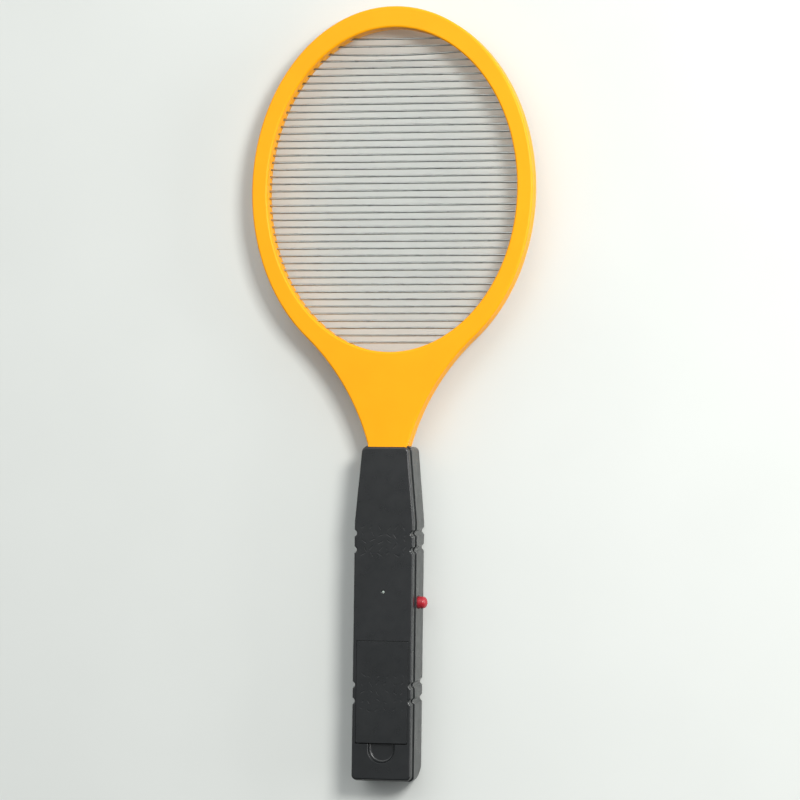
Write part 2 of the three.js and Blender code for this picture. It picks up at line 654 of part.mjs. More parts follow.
// A flush plate with two hinge tabs under the shell at its upper edge and a latch tongue at its lower
function batteryCover() {
  const half = COVER_WIDTH / 2;
  const plate = prism(
    roundedRectangle(half, (coverTopY - coverBottomY) / 2, 0.8, 2),
    coverInsideZ,
    handleDepth,
  ).translate([0, (coverTopY + coverBottomY) / 2, 0]);
  const pieces = [plate];
  const tabTop = frontInsideZ - FIT_GAP;
  for (const side of [-1, 1]) {
    const x = side * (half - 4.8);
    pieces.push(block(x - 2, x + 2, coverTopY - 2.5, coverTopY + 1.8, tabTop - 1.2, tabTop));
    pieces.push(block(x - 2, x + 2, coverTopY - 2.5, coverTopY, tabTop - 0.5, coverInsideZ + 0.3));
  }
  pieces.push(block(-5, 5, coverBottomY, coverBottomY + 1.5, coverInsideZ - 2.6, coverInsideZ + 0.3));
  for (const share of [0.25, 0.5, 0.75]) {
    const y = coverBottomY + (coverTopY - coverBottomY) * share;
    const rib = half - COVER_LEDGE - 1;
    pieces.push(block(-rib, rib, y - 0.5, y + 0.5, coverInsideZ - 0.9, coverInsideZ + 0.3));
  }
  return meshOf("battery_cover", joined(pieces), blackPlastic);
}

// ---------------------------------------------------------------- cells and contacts

// side -1 has its positive contact up, side 1 has it down
function cell(name, side) {
  const radius = CELL_DIAMETER / 2;
  const nub = CELL_NUB_DIAMETER / 2;
  const corner = 0.6;
  const profile = [
    [0, 0],
    [radius - corner, 0],
    [radius, corner],
    [radius, CELL_LENGTH - corner],
    [radius - corner, CELL_LENGTH],
    [nub, CELL_LENGTH],
    [nub, CELL_LENGTH + CELL_NUB_LENGTH],
    [0, CELL_LENGTH + CELL_NUB_LENGTH],
  ];
  const upright = turned(profile, 24).rotateX(-Math.PI / 2);
  if (side > 0) {
    upright.rotateX(Math.PI).translate(0, CELL_LENGTH + CELL_NUB_LENGTH, 0);
  }
  const nubAtBottom = side > 0 ? bayBottomY + FIT_GAP + CONTACT_THICKNESS + FIT_GAP : cellBottomY;
  return meshOf(name, solid(upright.translate(side * cellX, nubAtBottom, cellZ)), cellJacket);
}

const plateBottomZ = cellZ - 5;
const plateTopZ = bulkheadTopZ - 0.5;

// A coil spring standing on a plate, from the plate's face out along Y
function spring(x, faceY, direction) {
  const points = [];
  const steps = SPRING_TURNS * 10;
  for (let i = 0; i <= steps; i += 1) {
    const share = i / steps;
    const angle = share * SPRING_TURNS * 2 * Math.PI;
    const radius = SPRING_RADIUS * (1 - 0.25 * share);
    const reach = (SPRING_LENGTH - SPRING_WIRE) * share;
    points.push([
      x + radius * Math.cos(angle),
      faceY + direction * reach,
      cellZ + radius * Math.sin(angle),
    ]);
  }
  return tubeAlong(points, SPRING_WIRE / 2, steps, 6);
}

function contactPlate(x0, x1, y0) {
  return block(x0, x1, y0, y0 + CONTACT_THICKNESS, plateBottomZ, plateTopZ);
}

const linkPlateY = bayBottomY + FIT_GAP;
const upperPlateY = bayTopY - FIT_GAP - CONTACT_THICKNESS;
const tabX = 4;
const solderTabTopZ = plateTopZ + 1;

// The plate that joins the two cells at the butt end, with a spring for the left cell
function linkContact() {
  const reach = cellX + 4.5;
  const plate = contactPlate(-reach, reach, linkPlateY);
  const coil = spring(-cellX, linkPlateY + CONTACT_THICKNESS, 1);
  return meshOf("battery_link_contact", plate.add(coil), springSteel);
}

function solderTab(side) {
  const x = side * tabX;
  return block(x - 1.2, x + 1.2, upperPlateY, upperPlateY + CONTACT_THICKNESS, cellZ, solderTabTopZ);
}

function positiveContact() {
  const plate = contactPlate(-cellX - 4.5, -1, upperPlateY).add(solderTab(-1));
  return meshOf("battery_positive_contact", plate, springSteel);
}

function negativeContact() {
  const plate = contactPlate(1, cellX + 4.5, upperPlateY).add(solderTab(1));
  return meshOf("battery_negative_contact", plate.add(spring(cellX, upperPlateY, -1)), springSteel);
}

// From a solder tab over the bulkhead and down to the board
function batteryLead(name, side, look) {
  const radius = LEAD_DIAMETER / 2;
  const x = side * tabX;
  const y = upperPlateY + CONTACT_THICKNESS / 2;
  const start = solderTabTopZ + FIT_GAP;
  const points = [
    [x, y, start],
    [x, y + 0.7, start + 1.5],
    [x, y + 3.2, start + 1.9],
    [x, bayTopY + BULKHEAD + 3.4, bulkheadTopZ - 3],
    [x, boardBottomY - 1.8, onBoardZ + 3],
    [x, boardBottomY + 0.2, onBoardZ + 1.4],
    [x, boardBottomY + 2, onBoardZ + radius],
  ];
  return meshOf(name, tubeAlong(points, radius, 16), look);
}

// ---------------------------------------------------------------- button and switch

const switchFaceX = wallInsideX - BUTTON_FLANGE - BUTTON_TRAVEL - PLUNGER_REACH + 0.3;
const plungerTipX = switchFaceX + PLUNGER_REACH;

function pushButton() {
  const radius = BUTTON_DIAMETER / 2;
  const innerX = plungerTipX + FIT_GAP;
  const flangeX = wallInsideX - FIT_GAP;
  const tipX = handleHalf + BUTTON_PROTRUSION;
  const domeX = handleHalf + BUTTON_PROTRUSION * 0.25;
  const dome = arc(0, domeX, radius, tipX - domeX, 0, Math.PI / 2, 4).map((p) => [Math.max(p.x, 0), p.y]);
  dome[dome.length - 1][0] = 0;
  const profile = [
    [0, innerX],
    [radius + BUTTON_FLANGE, innerX],
    [radius + BUTTON_FLANGE, flangeX],
    [radius, flangeX],
    ...dome,
  ];
  const geometry = turned(profile, 20).rotateY(Math.PI / 2).translate(0, buttonY, buttonZ);
  return meshOf("push_button", solid(geometry), redPlastic);
}

function switchBody() {
  const half = SWITCH_SIZE / 2;
  const backX = switchFaceX - SWITCH_DEPTH;
  const body = block(backX, switchFaceX, buttonY - half, buttonY + half, onBoardZ, buttonZ + half);
  const well = barX(PLUNGER_DIAMETER / 2 + SLIDE_GAP, backX + SWITCH_BACK, 100, buttonY, buttonZ);
  return meshOf("switch_body", body.subtract(well), darkResin);
}

function switchPlunger() {
  const tail = switchFaceX - SWITCH_DEPTH + SWITCH_BACK + BUTTON_TRAVEL + FIT_GAP;
  return meshOf("switch_plunger", barX(PLUNGER_DIAMETER / 2, tail, plungerTipX, buttonY, buttonZ), nylon);
}

// ---------------------------------------------------------------- circuit board

const boardHalf = plungerTipX - BUTTON_TRAVEL; // clear of the button's flange when it is pressed
const boardPostRadius = 2.2;
const boardPostX = boardHalf - 3;
const boardPostPlaces = [
  [boardPostX, boardTopY - 6],
  [-boardPostX, boardTopY - 6],
  [boardPostX, boardBottomY + 5],
  [-boardPostX, boardBottomY + 5],
];
const boardScrewPlaces = [boardPostPlaces[0], boardPostPlaces[3]];
const ledBodyRadius = 1.5;
const ledBaseZ = frontInsideZ - 8;

function circuitBoard() {
  let body = block(-boardHalf, boardHalf, boardBottomY, boardTopY, boardZ, boardTopZ);
  for (const [x, y] of boardScrewPlaces) {
    body = body.subtract(barZ(BOARD_SCREW.shank / 2 + FIT_GAP, 0, 100, x, y, 16));
  }
  return meshOf("circuit_board", body, boardResin);
}

// The lamp on long legs, its narrow tip in the hole of the front shell
function indicatorLed() {
  const tip = LED_HOLE_DIAMETER / 2 - 0.2;
  const profile = [
    [0, 0],
    [ledBodyRadius, 0],
    [ledBodyRadius, 6.6],
    [tip, 7.4],
    [tip, handleDepth - ledBaseZ - 0.7],
    [0, handleDepth - ledBaseZ - 0.1],
  ];
  const lamp = solid(turned(profile, 16).translate(0, ledY, ledBaseZ));
  const legs = [-1, 1].map((side) => {
    const x = side * 0.8;
    return block(x - 0.25, x + 0.25, ledY - 0.25, ledY + 0.25, onBoardZ, ledBaseZ + 0.5);
  });
  return meshOf("indicator_led", joined([lamp, ...legs]), lens);
}

// Converter transformer: a ferrite double-E core through a bobbin with its winding
const coreX = -2;
const coreY = boardTopY - 17;
const coreZ = onBoardZ + 0.2;
const CORE = { width: 15, height: 12, depth: 5, leg: 3, side: 2 };

function transformerCore() {
  const half = CORE.width / 2;
  const window = (side) => {
    const x0 = coreX + (side < 0 ? -half + CORE.side : CORE.leg / 2);
    const x1 = coreX + (side < 0 ? -CORE.leg / 2 : half - CORE.side);
    return block(x0, x1, coreY - 50, coreY + 50, coreZ + CORE.side, coreZ + CORE.height - CORE.side);
  };
  const outside = block(
    coreX - half, coreX + half, coreY - CORE.depth / 2, coreY + CORE.depth / 2, coreZ, coreZ + CORE.height,
  );
  return meshOf("transformer_core", outside.subtract(window(-1)).subtract(window(1)), ferrite);
}

const bobbinLow = coreZ + CORE.side + FIT_GAP;
const bobbinHigh = coreZ + CORE.height - CORE.side - FIT_GAP;
const bobbinHalfX = CORE.width / 2 - CORE.side - FIT_GAP;
const bobbinHalfY = CORE.depth / 2 + 4;
const tubeHalfX = CORE.leg / 2 + FIT_GAP + 0.6;
const tubeHalfY = CORE.depth / 2 + FIT_GAP + 0.6;

function aroundCore(halfX, halfY, z0, z1) {
  return prism(roundedRectangle(halfX, halfY, 0.5, 2), z0, z1).translate([coreX, coreY, 0]);
}

function transformerBobbin() {
  const flange = 0.7;
  const pieces = [
    aroundCore(tubeHalfX, tubeHalfY, bobbinLow, bobbinHigh),
    aroundCore(bobbinHalfX, bobbinHalfY, bobbinLow, bobbinLow + flange),
    aroundCore(bobbinHalfX, bobbinHalfY, bobbinHigh - flange, bobbinHigh),
  ];
  for (const x of [-1, 1]) {
    for (const y of [-1, 1]) {
      const px = coreX + x * (bobbinHalfX - 1);
      const py = coreY + y * (bobbinHalfY - 0.8);
      pieces.push(block(px - 0.3, px + 0.3, py - 0.3, py + 0.3, onBoardZ, bobbinLow + 0.3));
    }
  }
  const legHoleX = CORE.leg / 2 + FIT_GAP;
  const legHoleY = CORE.depth / 2 + FIT_GAP;
  const hole = block(coreX - legHoleX, coreX + legHoleX, coreY - legHoleY, coreY + legHoleY, 0, 100);
  return meshOf("transformer_bobbin", joined(pieces).subtract(hole), nylon);
}

function transformerWinding() {
  const z0 = bobbinLow + 0.7 + FIT_GAP;
  const z1 = bobbinHigh - 0.7 - FIT_GAP;
  const outside = prism(roundedRectangle(bobbinHalfX - 0.3, bobbinHalfY - 0.4, 2, 3), z0, z1);
  const inside = prism(roundedRectangle(tubeHalfX + FIT_GAP, tubeHalfY + FIT_GAP, 0.5, 2), z0 - 1, z1 + 1);
  return meshOf("transformer_winding", outside.subtract(inside).translate([coreX, coreY, 0]), windingTape);
}

// A dipped capacitor standing on two legs, its flat side facing Y
function capacitor(name, x, y, halfWidth, height, thickness, look) {
  const radius = Math.min(halfWidth, height / 2) * 0.9;
  const face = roundedRectangle(halfWidth, height / 2, radius, 3);
  const dipped = new THREE.ExtrudeGeometry(new THREE.Shape(face), {
    depth: thickness * 0.4,
    bevelThickness: thickness * 0.3,
    bevelSize: thickness * 0.3,
    bevelOffset: -thickness * 0.3,
    bevelSegments: 1,
  });
  dipped.translate(0, 0, -thickness * 0.2).rotateX(Math.PI / 2);
  const body = solid(dipped.translate(x, y, onBoardZ + 1.2 + height / 2));
  const legs = [-1, 1].map((side) => {
    const legX = x + side * halfWidth * 0.6;
    return block(legX - 0.3, legX + 0.3, y - 0.3, y + 0.3, onBoardZ, onBoardZ + 1.2 + height / 2);
  });
  return meshOf(name, joined([body, ...legs]), look);
}

// A resistor or diode lying along X or Y, its legs bent down to the board
function axialPart(name, x, y, alongX, radius, length, look) {
  const z = onBoardZ + radius + 0.3;
  const bar = alongX ? barX : barY;
  const middle = alongX ? x : y;
  const across = alongX ? y : x;
  const legReach = length / 2 + 1.6;
  const body = bar(radius, middle - length / 2, middle + length / 2, across, z, 12);
  const wire = bar(0.35, middle - legReach, middle + legReach, across, z, 6);
  const legs = [-1, 1].map((side) => {
    const [lx, ly] = alongX ? [x + side * legReach, y] : [x, y + side * legReach];
    return barZ(0.35, onBoardZ, z + 0.35, lx, ly, 6);
  });
  return meshOf(name, joined([body, wire, ...legs]), look);
}

function transistor() {
  const [x, y] = [coreX + 2, boardTopY - 5];
  const outline = arc(0, 0, 2.4, 2.4, -0.25 * Math.PI, 1.25 * Math.PI, 12);
  const body = prism(outline, onBoardZ + 3, onBoardZ + 7.6).translate([x, y, 0]);
  const legs = [-1.2, 0, 1.2].map((dx) => {
    return block(x + dx - 0.25, x + dx + 0.25, y - 0.25, y + 0.25, onBoardZ, onBoardZ + 4);
  });
  return meshOf("transistor", joined([body, ...legs]), darkResin);
}

// ---------------------------------------------------------------- the whole swatter

const group = new THREE.Group();

const head = new THREE.Group();
head.add(headFrontFrame());
head.add(headRearFrame());
head.add(gridComb("grid_comb_left", -1, 0));
head.add(gridComb("grid_comb_right", 1, 1));
head.add(gridLead("grid_lead_left", -1, redLead));
head.add(gridLead("grid_lead_right", 1, blackLead));
headScrewPlaces.forEach(([x, y], i) => {
  head.add(screw(`head_screw_${i + 1}`, HEAD_SCREW, x, y, headScrewSeatZ));
});
group.add(head);

const handle = new THREE.Group();
handle.add(handleFrontShell());
handle.add(handleRearShell());
handle.add(batteryCover());
handle.add(pushButton());
handleScrewPlaces.forEach(([x, y], i) => {
  handle.add(screw(`handle_screw_${i + 1}`, HANDLE_SCREW, x, y, screwSeatZ - FIT_GAP));
});
group.add(handle);

const power = new THREE.Group();
power.add(cell("battery_1", -1));
power.add(cell("battery_2", 1));
power.add(linkContact());
power.add(positiveContact());
power.add(negativeContact());
power.add(batteryLead("battery_lead_positive", -1, redLead));
power.add(batteryLead("battery_lead_negative", 1, blackLead));
group.add(power);

const electronics = new THREE.Group();
electronics.add(circuitBoard());
electronics.add(switchBody());
electronics.add(switchPlunger());
electronics.add(indicatorLed());
electronics.add(transformerCore());
electronics.add(transformerBobbin());
electronics.add(transformerWinding());
electronics.add(capacitor("storage_capacitor", coreX - 0.5, boardTopY - 33, 9, 11, 6, capacitorEpoxy));
for (let i = 0; i < 2; i += 1) {
  const name = `multiplier_capacitor_${i + 1}`;
  electronics.add(capacitor(name, 3.4 - boardHalf, boardTopY - 42 - 5.5 * i, 3.2, 6.4, 2.4, ceramicBlue));
}
for (let i = 0; i < 3; i += 1) {
  electronics.add(axialPart(`diode_${i + 1}`, 9.2, boardTopY - 20 - 9 * i, false, 1.3, 4.6, darkResin));
}
["bias_resistor", "led_resistor", "discharge_resistor"].forEach((name, i) => {
  electronics.add(axialPart(name, 0, ledY - 4.2 - 3.3 * i, true, 1.1, 6, resistorCoat));
});
electronics.add(transistor());
boardScrewPlaces.forEach(([x, y], i) => {
  const upright = screw(`board_screw_${i + 1}`, BOARD_SCREW, 0, 0, 0);
  upright.rotation.x = Math.PI;
  upright.position.set(x, y, boardTopZ + FIT_GAP);
  electronics.add(upright);
});
group.add(electronics);

export default group;
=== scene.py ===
"""Electric fly swatter: the looks of each piece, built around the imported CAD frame.

Lengths are in millimetres and are turned into metres where a mesh is made. X is to the right, Y runs from
the handle to the tip of the head, Z out of the front face, and the swatter lies on its back.
"""

import math
import random

import bpy
from mathutils import Euler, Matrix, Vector


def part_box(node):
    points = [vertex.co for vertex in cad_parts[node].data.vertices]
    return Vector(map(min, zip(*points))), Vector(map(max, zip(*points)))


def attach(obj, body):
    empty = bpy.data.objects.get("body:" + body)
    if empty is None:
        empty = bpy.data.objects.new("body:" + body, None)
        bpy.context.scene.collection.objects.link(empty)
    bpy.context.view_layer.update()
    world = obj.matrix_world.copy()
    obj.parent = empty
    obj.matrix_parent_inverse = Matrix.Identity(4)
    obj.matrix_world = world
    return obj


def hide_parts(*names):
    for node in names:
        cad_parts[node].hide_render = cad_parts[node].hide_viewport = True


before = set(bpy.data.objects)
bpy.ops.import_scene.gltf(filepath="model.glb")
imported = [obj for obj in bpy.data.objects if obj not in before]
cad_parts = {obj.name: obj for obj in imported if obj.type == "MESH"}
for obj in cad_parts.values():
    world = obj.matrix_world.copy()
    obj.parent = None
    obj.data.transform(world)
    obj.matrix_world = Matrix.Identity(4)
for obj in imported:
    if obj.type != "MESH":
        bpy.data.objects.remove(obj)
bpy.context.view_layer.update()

MM = 0.001
FULL_TURN = 2 * math.pi
QUARTER = math.pi / 2
SHARP_ANGLE = math.radians(32)
SOFT_EDGE = 0.12
SOFT_EDGE_ANGLE = math.radians(40)
FINISH = "_finish"  # ends the name of each material


def limits(node):
    """Lowest and highest corner of a CAD node, in millimetres."""
    low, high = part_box(node)
    return low / MM, high / MM


# -------- sizes

rear_low, rear_high = limits("handle_rear_shell")
front_high = limits("handle_front_shell")[1]
cover_low, cover_high = limits("battery_cover")
head_front_low, head_front_high = limits("head_front_frame")
head_rear_low, head_rear_high = limits("head_rear_frame")
comb_low, comb_high = limits("grid_comb_left")
button_low, button_high = limits("push_button")

FIT_GAP = 0.3
SLIDE_GAP = 0.25
PAST = 1.0  # how far a cutting solid runs past the face that it opens
BITE = 0.5  # how far an added solid reaches into the wall that carries it
AXIS_RADIUS = 0.02  # stands for the axis at the closed ends of a turned solid
POST_START = 1.0  # ribs, posts and bosses start inside the back wall

HEAD_HALF_WIDTH = head_front_high.x
HEAD_HALF_LENGTH = 102.6
RIM_WIDTH = 9.0
RIM_WIDTH_ENDS = 12.0
HEAD_WALL = 2.0
HEAD_ROUND = 1.3
THROAT_START_DROP = 82.5
NECK_HALF = 11.4
TANG_HALF = 11.0
TANG_WALL = 1.6
TANG_HOLE_RADIUS = 3.75
TANG_HOLE_WALL = 1.2
TANG_RIB_HALF_WIDTH = 10.0
TANG_RIB_HALF = 0.8
UPPER_TANG_RIB_DROP = 5.0  # below the handle's top
LOWER_TANG_RIB_RISE = 4.0  # above the tang's end
HEAD_BOSS_RADIUS = 2.3
HEAD_PILOT_RADIUS = 1.1
HEAD_PILOT_SKIN = 0.9  # left in front of the pilot holes
HEAD_SHAFT_RADIUS = 1.2
HEAD_COUNTERBORE_RADIUS = 2.1
HEAD_SEAT_DEPTH = 1.4

WIRE_COUNT = 43
WIRE_PITCH = 4.05
WIRE_RADIUS = 0.6
WIRE_ROOM = 0.06
WIRE_BITE = 1.2
WIRE_SWAY = 0.12
WIRE_LEAN = 0.10
LOOSE_WIRE = WIRE_COUNT - 3
LOOSE_DIP = 1.3
LOOSE_RISE = 0.35
BUS_OFFSET = 2.4
BUS_WIDTH = 0.8
BUS_TAIL = 3.0  # below the lowest wire, for the lead
BUS_TIP = 1.0  # above the highest wire

HANDLE_TOP_HALF = 14.0
TAPER_LENGTH = 42.0
FRONT_ROUND = 1.15
BACK_ROUND = 2.0
SEAM_ROUND = 0.25
HANDLE_WALL = 2.2
HANDLE_SKIN = 2.0
TOP_CORNER = 3.0
BOTTOM_CORNER = 2.6
LEAST_CORNER = 0.5
HEEL_LENGTH = 10.5
HEEL_DEPTH = 15.0
HEEL_HEIGHTS = (3, 4, 5.5, 7, 9, 11, 13, HEEL_DEPTH)
BACK_EDGE_HEIGHTS = (0.04, 0.15)  # more rings where the rounded back edge starts
GROOVE_HEIGHT = 4.2
GROOVE_DEPTH = 1.25
GROOVE_TILT = math.radians(5.0)
GROOVE_DROPS = [47.6, 56.8, 131.4, 140.4]

BOSS_RADIUS = 3.45
BOARD_POST_RADIUS = 2.2
BOARD_POST_INSET = 3.0
UPPER_POST_DROP = 6.0  # below the board's upper edge
LOWER_POST_RISE = 5.0  # above its lower edge
BOARD_PILOT_RADIUS = 1.1
HANDLE_PILOT_RADIUS = 1.4
HANDLE_SHAFT_RADIUS = 1.5
HANDLE_COUNTERBORE_RADIUS = 2.25
HANDLE_SEAT_DEPTH = 1.9
FRONT_BOSS_RADIUS = 2.8

COVER_LEDGE = 1.4
COVER_LEDGE_DEPTH = 1.2
COVER_THICKNESS = 1.8
COVER_TOP_DROP = 0.8  # from the top of the battery bay to the cover's upper edge
COVER_SWING_ROOM = 0.5
COVER_CORNER = 0.8
COVER_EDGE = 0.15
COVER_SNUG = 0.12  # the shown cover is this much wider on each side than the CAD one
COVER_BITE = 0.3  # how far its tabs, latch and ribs reach into the plate
COVER_RIB_HALF = 0.5
COVER_RIB_DEPTH = 0.9
COVER_RIB_ROOM = 1.0
COVER_RIB_SHARES = (0.25, 0.5, 0.75)
TAB_INSET = 4.8
TAB_HALF = 2.0
TAB_ROOT = 2.5
TAB_REACH = 1.8
TAB_THICKNESS = 1.2
LATCH_HALF = 5.0
LATCH_LENGTH = 1.5
LATCH_DEPTH = 2.6
NAIL_RECESS_HALF = 7.5
NAIL_RECESS_LENGTH = 11.0
NAIL_RECESS_DEPTH = 3.0
NAIL_RECESS_WALL = 1.2

CELL_RADIUS = 7.0
CELL_LENGTH = 49.4
CELL_NUB_RADIUS = 2.75
CRADLE_HALF = 1.0
CRADLE_SHARES = (0.25, 0.75)
BULKHEAD = 1.5
CONTACT_THICKNESS = 0.4
CONTACT_CORNER = 1.2
CONTACT_BELOW_AXIS = 5.0  # from the cells' middle down to the plates' lower edge
CONTACT_DROP = 0.5  # from the bulkheads' top down to the plates' upper edge
SOLDER_TAB_HALF = 1.2
SOLDER_TAB_X = 4.0
SOLDER_TAB_RISE = 0.5  # above the bulkheads
SPRING_TURNS = 3
SPRING_RADIUS = 3.2
SPRING_TAPER = 0.25
SPRING_REACH = 3.9
SPRING_WIRE_RADIUS = 0.35

BUTTON_RADIUS = 3.35
BUTTON_DOME = 0.75  # the dome's height as a share of its radius
BUTTON_FLANGE = 1.1
BUTTON_ROOM_RADIUS = 3.6
BUTTON_CHAMFER = 0.4
LED_HOLE_RADIUS = 1.0
LED_ROOM_RADIUS = 1.8
LED_SLEEVE_RADIUS = 2.8
LED_SLEEVE_RISE = 9.0

UPPER_MARK_DROPS = (62, 44)  # the band's lower and upper end, below the handle's top
LOWER_MARK_RISES = (16, 40)  # the same, above the cover's lower edge
MARK_ROWS = 5
MARK_COLUMNS = 6
MARK_SPACING = 4.5
MARK_SCATTER = 0.9
MARK_TILTS = (-1.1, -0.6, 0.5, 0.9)
MARK_LENGTHS = (0.4, 1.5)
MARK_HALF_WIDTH = 0.5
MARK_FLOOR_HALF_WIDTH = 0.1
MARK_FLOOR_SHARE = 0.9
MARK_DEPTH = 0.15
MARK_PAST = 0.04

# A screw's head radius, head height, shank radius and length
HEAD_SCREW = (1.8, 1.2, 0.9, 8.4)
HANDLE_SCREW = (2.0, 1.6, 1.2, 12.1)
BOARD_SCREW = (1.9, 1.3, 0.9, 6.3)
THREAD_PITCH = 0.8

head_y = head_front_high.y - HEAD_HALF_LENGTH
opening_half_width = HEAD_HALF_WIDTH - RIM_WIDTH
opening_half_length = HEAD_HALF_LENGTH - RIM_WIDTH_ENDS
head_front_z = head_front_high.z
head_back_z = head_rear_low.z
front_rim_bottom_z = head_front_low.z
back_rim_top_z = head_rear_high.z
wire_z = (comb_low.z + comb_high.z) / 2
lowest_wire_y = head_y - (WIRE_COUNT - 1) / 2 * WIRE_PITCH

butt_y = rear_low.y
handle_top_y = rear_high.y
neck_end_y = handle_top_y + FIT_GAP / 2
tang_end_y = head_front_low.y
handle_half = rear_high.x
front_half = front_high.x
handle_depth = front_high.z
rear_top_z = rear_high.z
seam_z = rear_top_z + FIT_GAP
front_inside_z = handle_depth - HANDLE_SKIN
wall_inside_x = handle_half - HANDLE_WALL
boss_seam_z = handle_depth / 2
tang_rib_places = (handle_top_y - UPPER_TANG_RIB_DROP, tang_end_y + LOWER_TANG_RIB_RISE)

cover_half = cover_high.x
cover_bottom_y = cover_low.y
bay_bottom_y = cover_bottom_y
cell_1_low, cell_1_high = limits("battery_1")
cell_2_low, cell_2_high = limits("battery_2")
cell_x = (cell_2_low.x + cell_2_high.x) / 2
cell_z = (cell_2_low.z + cell_2_high.z) / 2
link_low, link_high = limits("battery_link_contact")
positive_low, positive_high = limits("battery_positive_contact")
negative_low, negative_high = limits("battery_negative_contact")
plate_bottom_z = cell_z - CONTACT_BELOW_AXIS
bay_top_y = positive_high.y + FIT_GAP
cover_top_y = bay_top_y - COVER_TOP_DROP
hinge_y = cover_top_y + SLIDE_GAP
cover_inside_z = handle_depth - COVER_THICKNESS
cover_room_y = cover_bottom_y - COVER_SWING_ROOM
cover_ledge_x = cover_half - COVER_LEDGE
cover_ledge_z = cover_inside_z - FIT_GAP
nail_floor_z = handle_depth - NAIL_RECESS_DEPTH
bulkhead_top_z = positive_high.z - SOLDER_TAB_RISE
plate_top_z = bulkhead_top_z - CONTACT_DROP
button_y = (button_low.y + button_high.y) / 2
button_z = (button_low.z + button_high.z) / 2
led_low, led_high = limits("indicator_led")
led_y = (led_low.y + led_high.y) / 2
board_low, board_high = limits("circuit_board")
board_post_x = board_high.x - BOARD_POST_INSET
board_posts = []
for post_y in (board_high.y - UPPER_POST_DROP, board_low.y + LOWER_POST_RISE):
    board_posts += [(board_post_x, post_y), (-board_post_x, post_y)]
board_screw_posts = [board_posts[0], board_posts[3]]


def screw_places(prefix, count):
    """Middle of each screw of a set and the height of its head's outer face."""
    places = []
    for i in range(count):
        low, high = limits(f"{prefix}_{i + 1}")
        places.append(((low.x + high.x) / 2, (low.y + high.y) / 2, low.z))
    return places


head_screws = screw_places("head_screw", 7)
handle_screws = screw_places("handle_screw", 5)
tang_screw_y = handle_screws[0][1]


# -------- mesh helpers


def arc(cx, cy, rx, ry, start, end, steps):
    """Points along part of an ellipse, both ends included."""
    points = []
    for i in range(steps + 1):
        angle = start + (end - start) * i / steps
        points.append((cx + rx * math.cos(angle), cy + ry * math.sin(angle)))
    return points


def mesh_object(name, points, faces):
    """A new object in the scene, from points in millimetres."""
    mesh = bpy.data.meshes.new(name)
    mesh.from_pydata([Vector(p) * MM for p in points], [], faces)
    mesh.update()
    obj = bpy.data.objects.new(name, mesh)
    bpy.context.scene.collection.objects.link(obj)
    return obj


def skin(rings, start=0):
    """Faces that join rings of equal count, with a cap on the first and the last. Points count from start."""
    count = len(rings[0])
    faces = []
    for k in range(len(rings) - 1):
        for i in range(count):
            j = (i + 1) % count
            quad = (k * count + i, k * count + j, (k + 1) * count + j, (k + 1) * count + i)
            faces.append(tuple(start + v for v in quad))
    last = (len(rings) - 1) * count
    faces.append(tuple(start + v for v in reversed(range(count))))
    faces.append(tuple(start + last + v for v in range(count)))
    return faces


def solid_through(rings, name="solid"):
    """A closed solid whose sections are the rings, from one end to the other."""
    points = [p for ring in rings for p in ring]
    return mesh_object(name, points, skin(rings))


def several_solids(groups):
    """One mesh that holds a closed solid for each list of rings."""
    points = []
    faces = []
    for rings in groups:
        faces += skin(rings, start=len(points))
        points += [p for ring in rings for p in ring]
    return mesh_object("solids", points, faces)


def rounded_rectangle(half_x, half_y, radius, steps=5):
    """A rectangle with round corners about the origin."""
    corners = [
        (half_x - radius, -half_y + radius, -QUARTER),
        (half_x - radius, half_y - radius, 0),
        (-half_x + radius, half_y - radius, QUARTER),
        (-half_x + radius, -half_y + radius, math.pi),
    ]
    points = []
    for x, y, start in corners:
        points += arc(x, y, radius, radius, start, start + QUARTER, steps)
    return points


def raised(outline, z):
    """An outline as a ring at a height."""
    return [(x, y, z) for x, y in outline]


def block_rings(x0, x1, y0, y1, z0, z1):
    """The two rings of a box."""
    outline = [(x0, y0), (x1, y0), (x1, y1), (x0, y1)]
    return [raised(outline, z0), raised(outline, z1)]


def block(x0, x1, y0, y1, z0, z1):
    """A box."""
    return solid_through(block_rings(x0, x1, y0, y1, z0, z1))


def turned_rings(profile, sides=32, axis="z", at=(0, 0, 0)):
    """Rings of a turned solid. The profile is (radius, height) along the axis."""
    rings = []
    for radius, height in profile:
        ring = []
        for x, y in arc(0, 0, radius, radius, 0, FULL_TURN, sides)[:-1]:
            if axis == "z":
                point = (x, y, height)
            elif axis == "x":
                point = (height, x, y)
            else:
                point = (y, height, x)
            ring.append(tuple(a + b for a, b in zip(point, at)))
        rings.append(ring)
    return rings


def turned(profile, sides=32, axis="z", at=(0, 0, 0)):
    """A turned solid about one of the three axes."""
    return solid_through(turned_rings(profile, sides, axis, at))


def pin_rings(radius, z0, z1, x, y):
    """The two rings of an upright round bar."""
    return turned_rings([(radius, z0), (radius, z1)], 24, "z", (x, y, 0))


def pins(radius, z0, z1, places):
    """One mesh of equal upright bars. A place starts with the bar's X and Y."""
    return several_solids([pin_rings(radius, z0, z1, place[0], place[1]) for place in places])


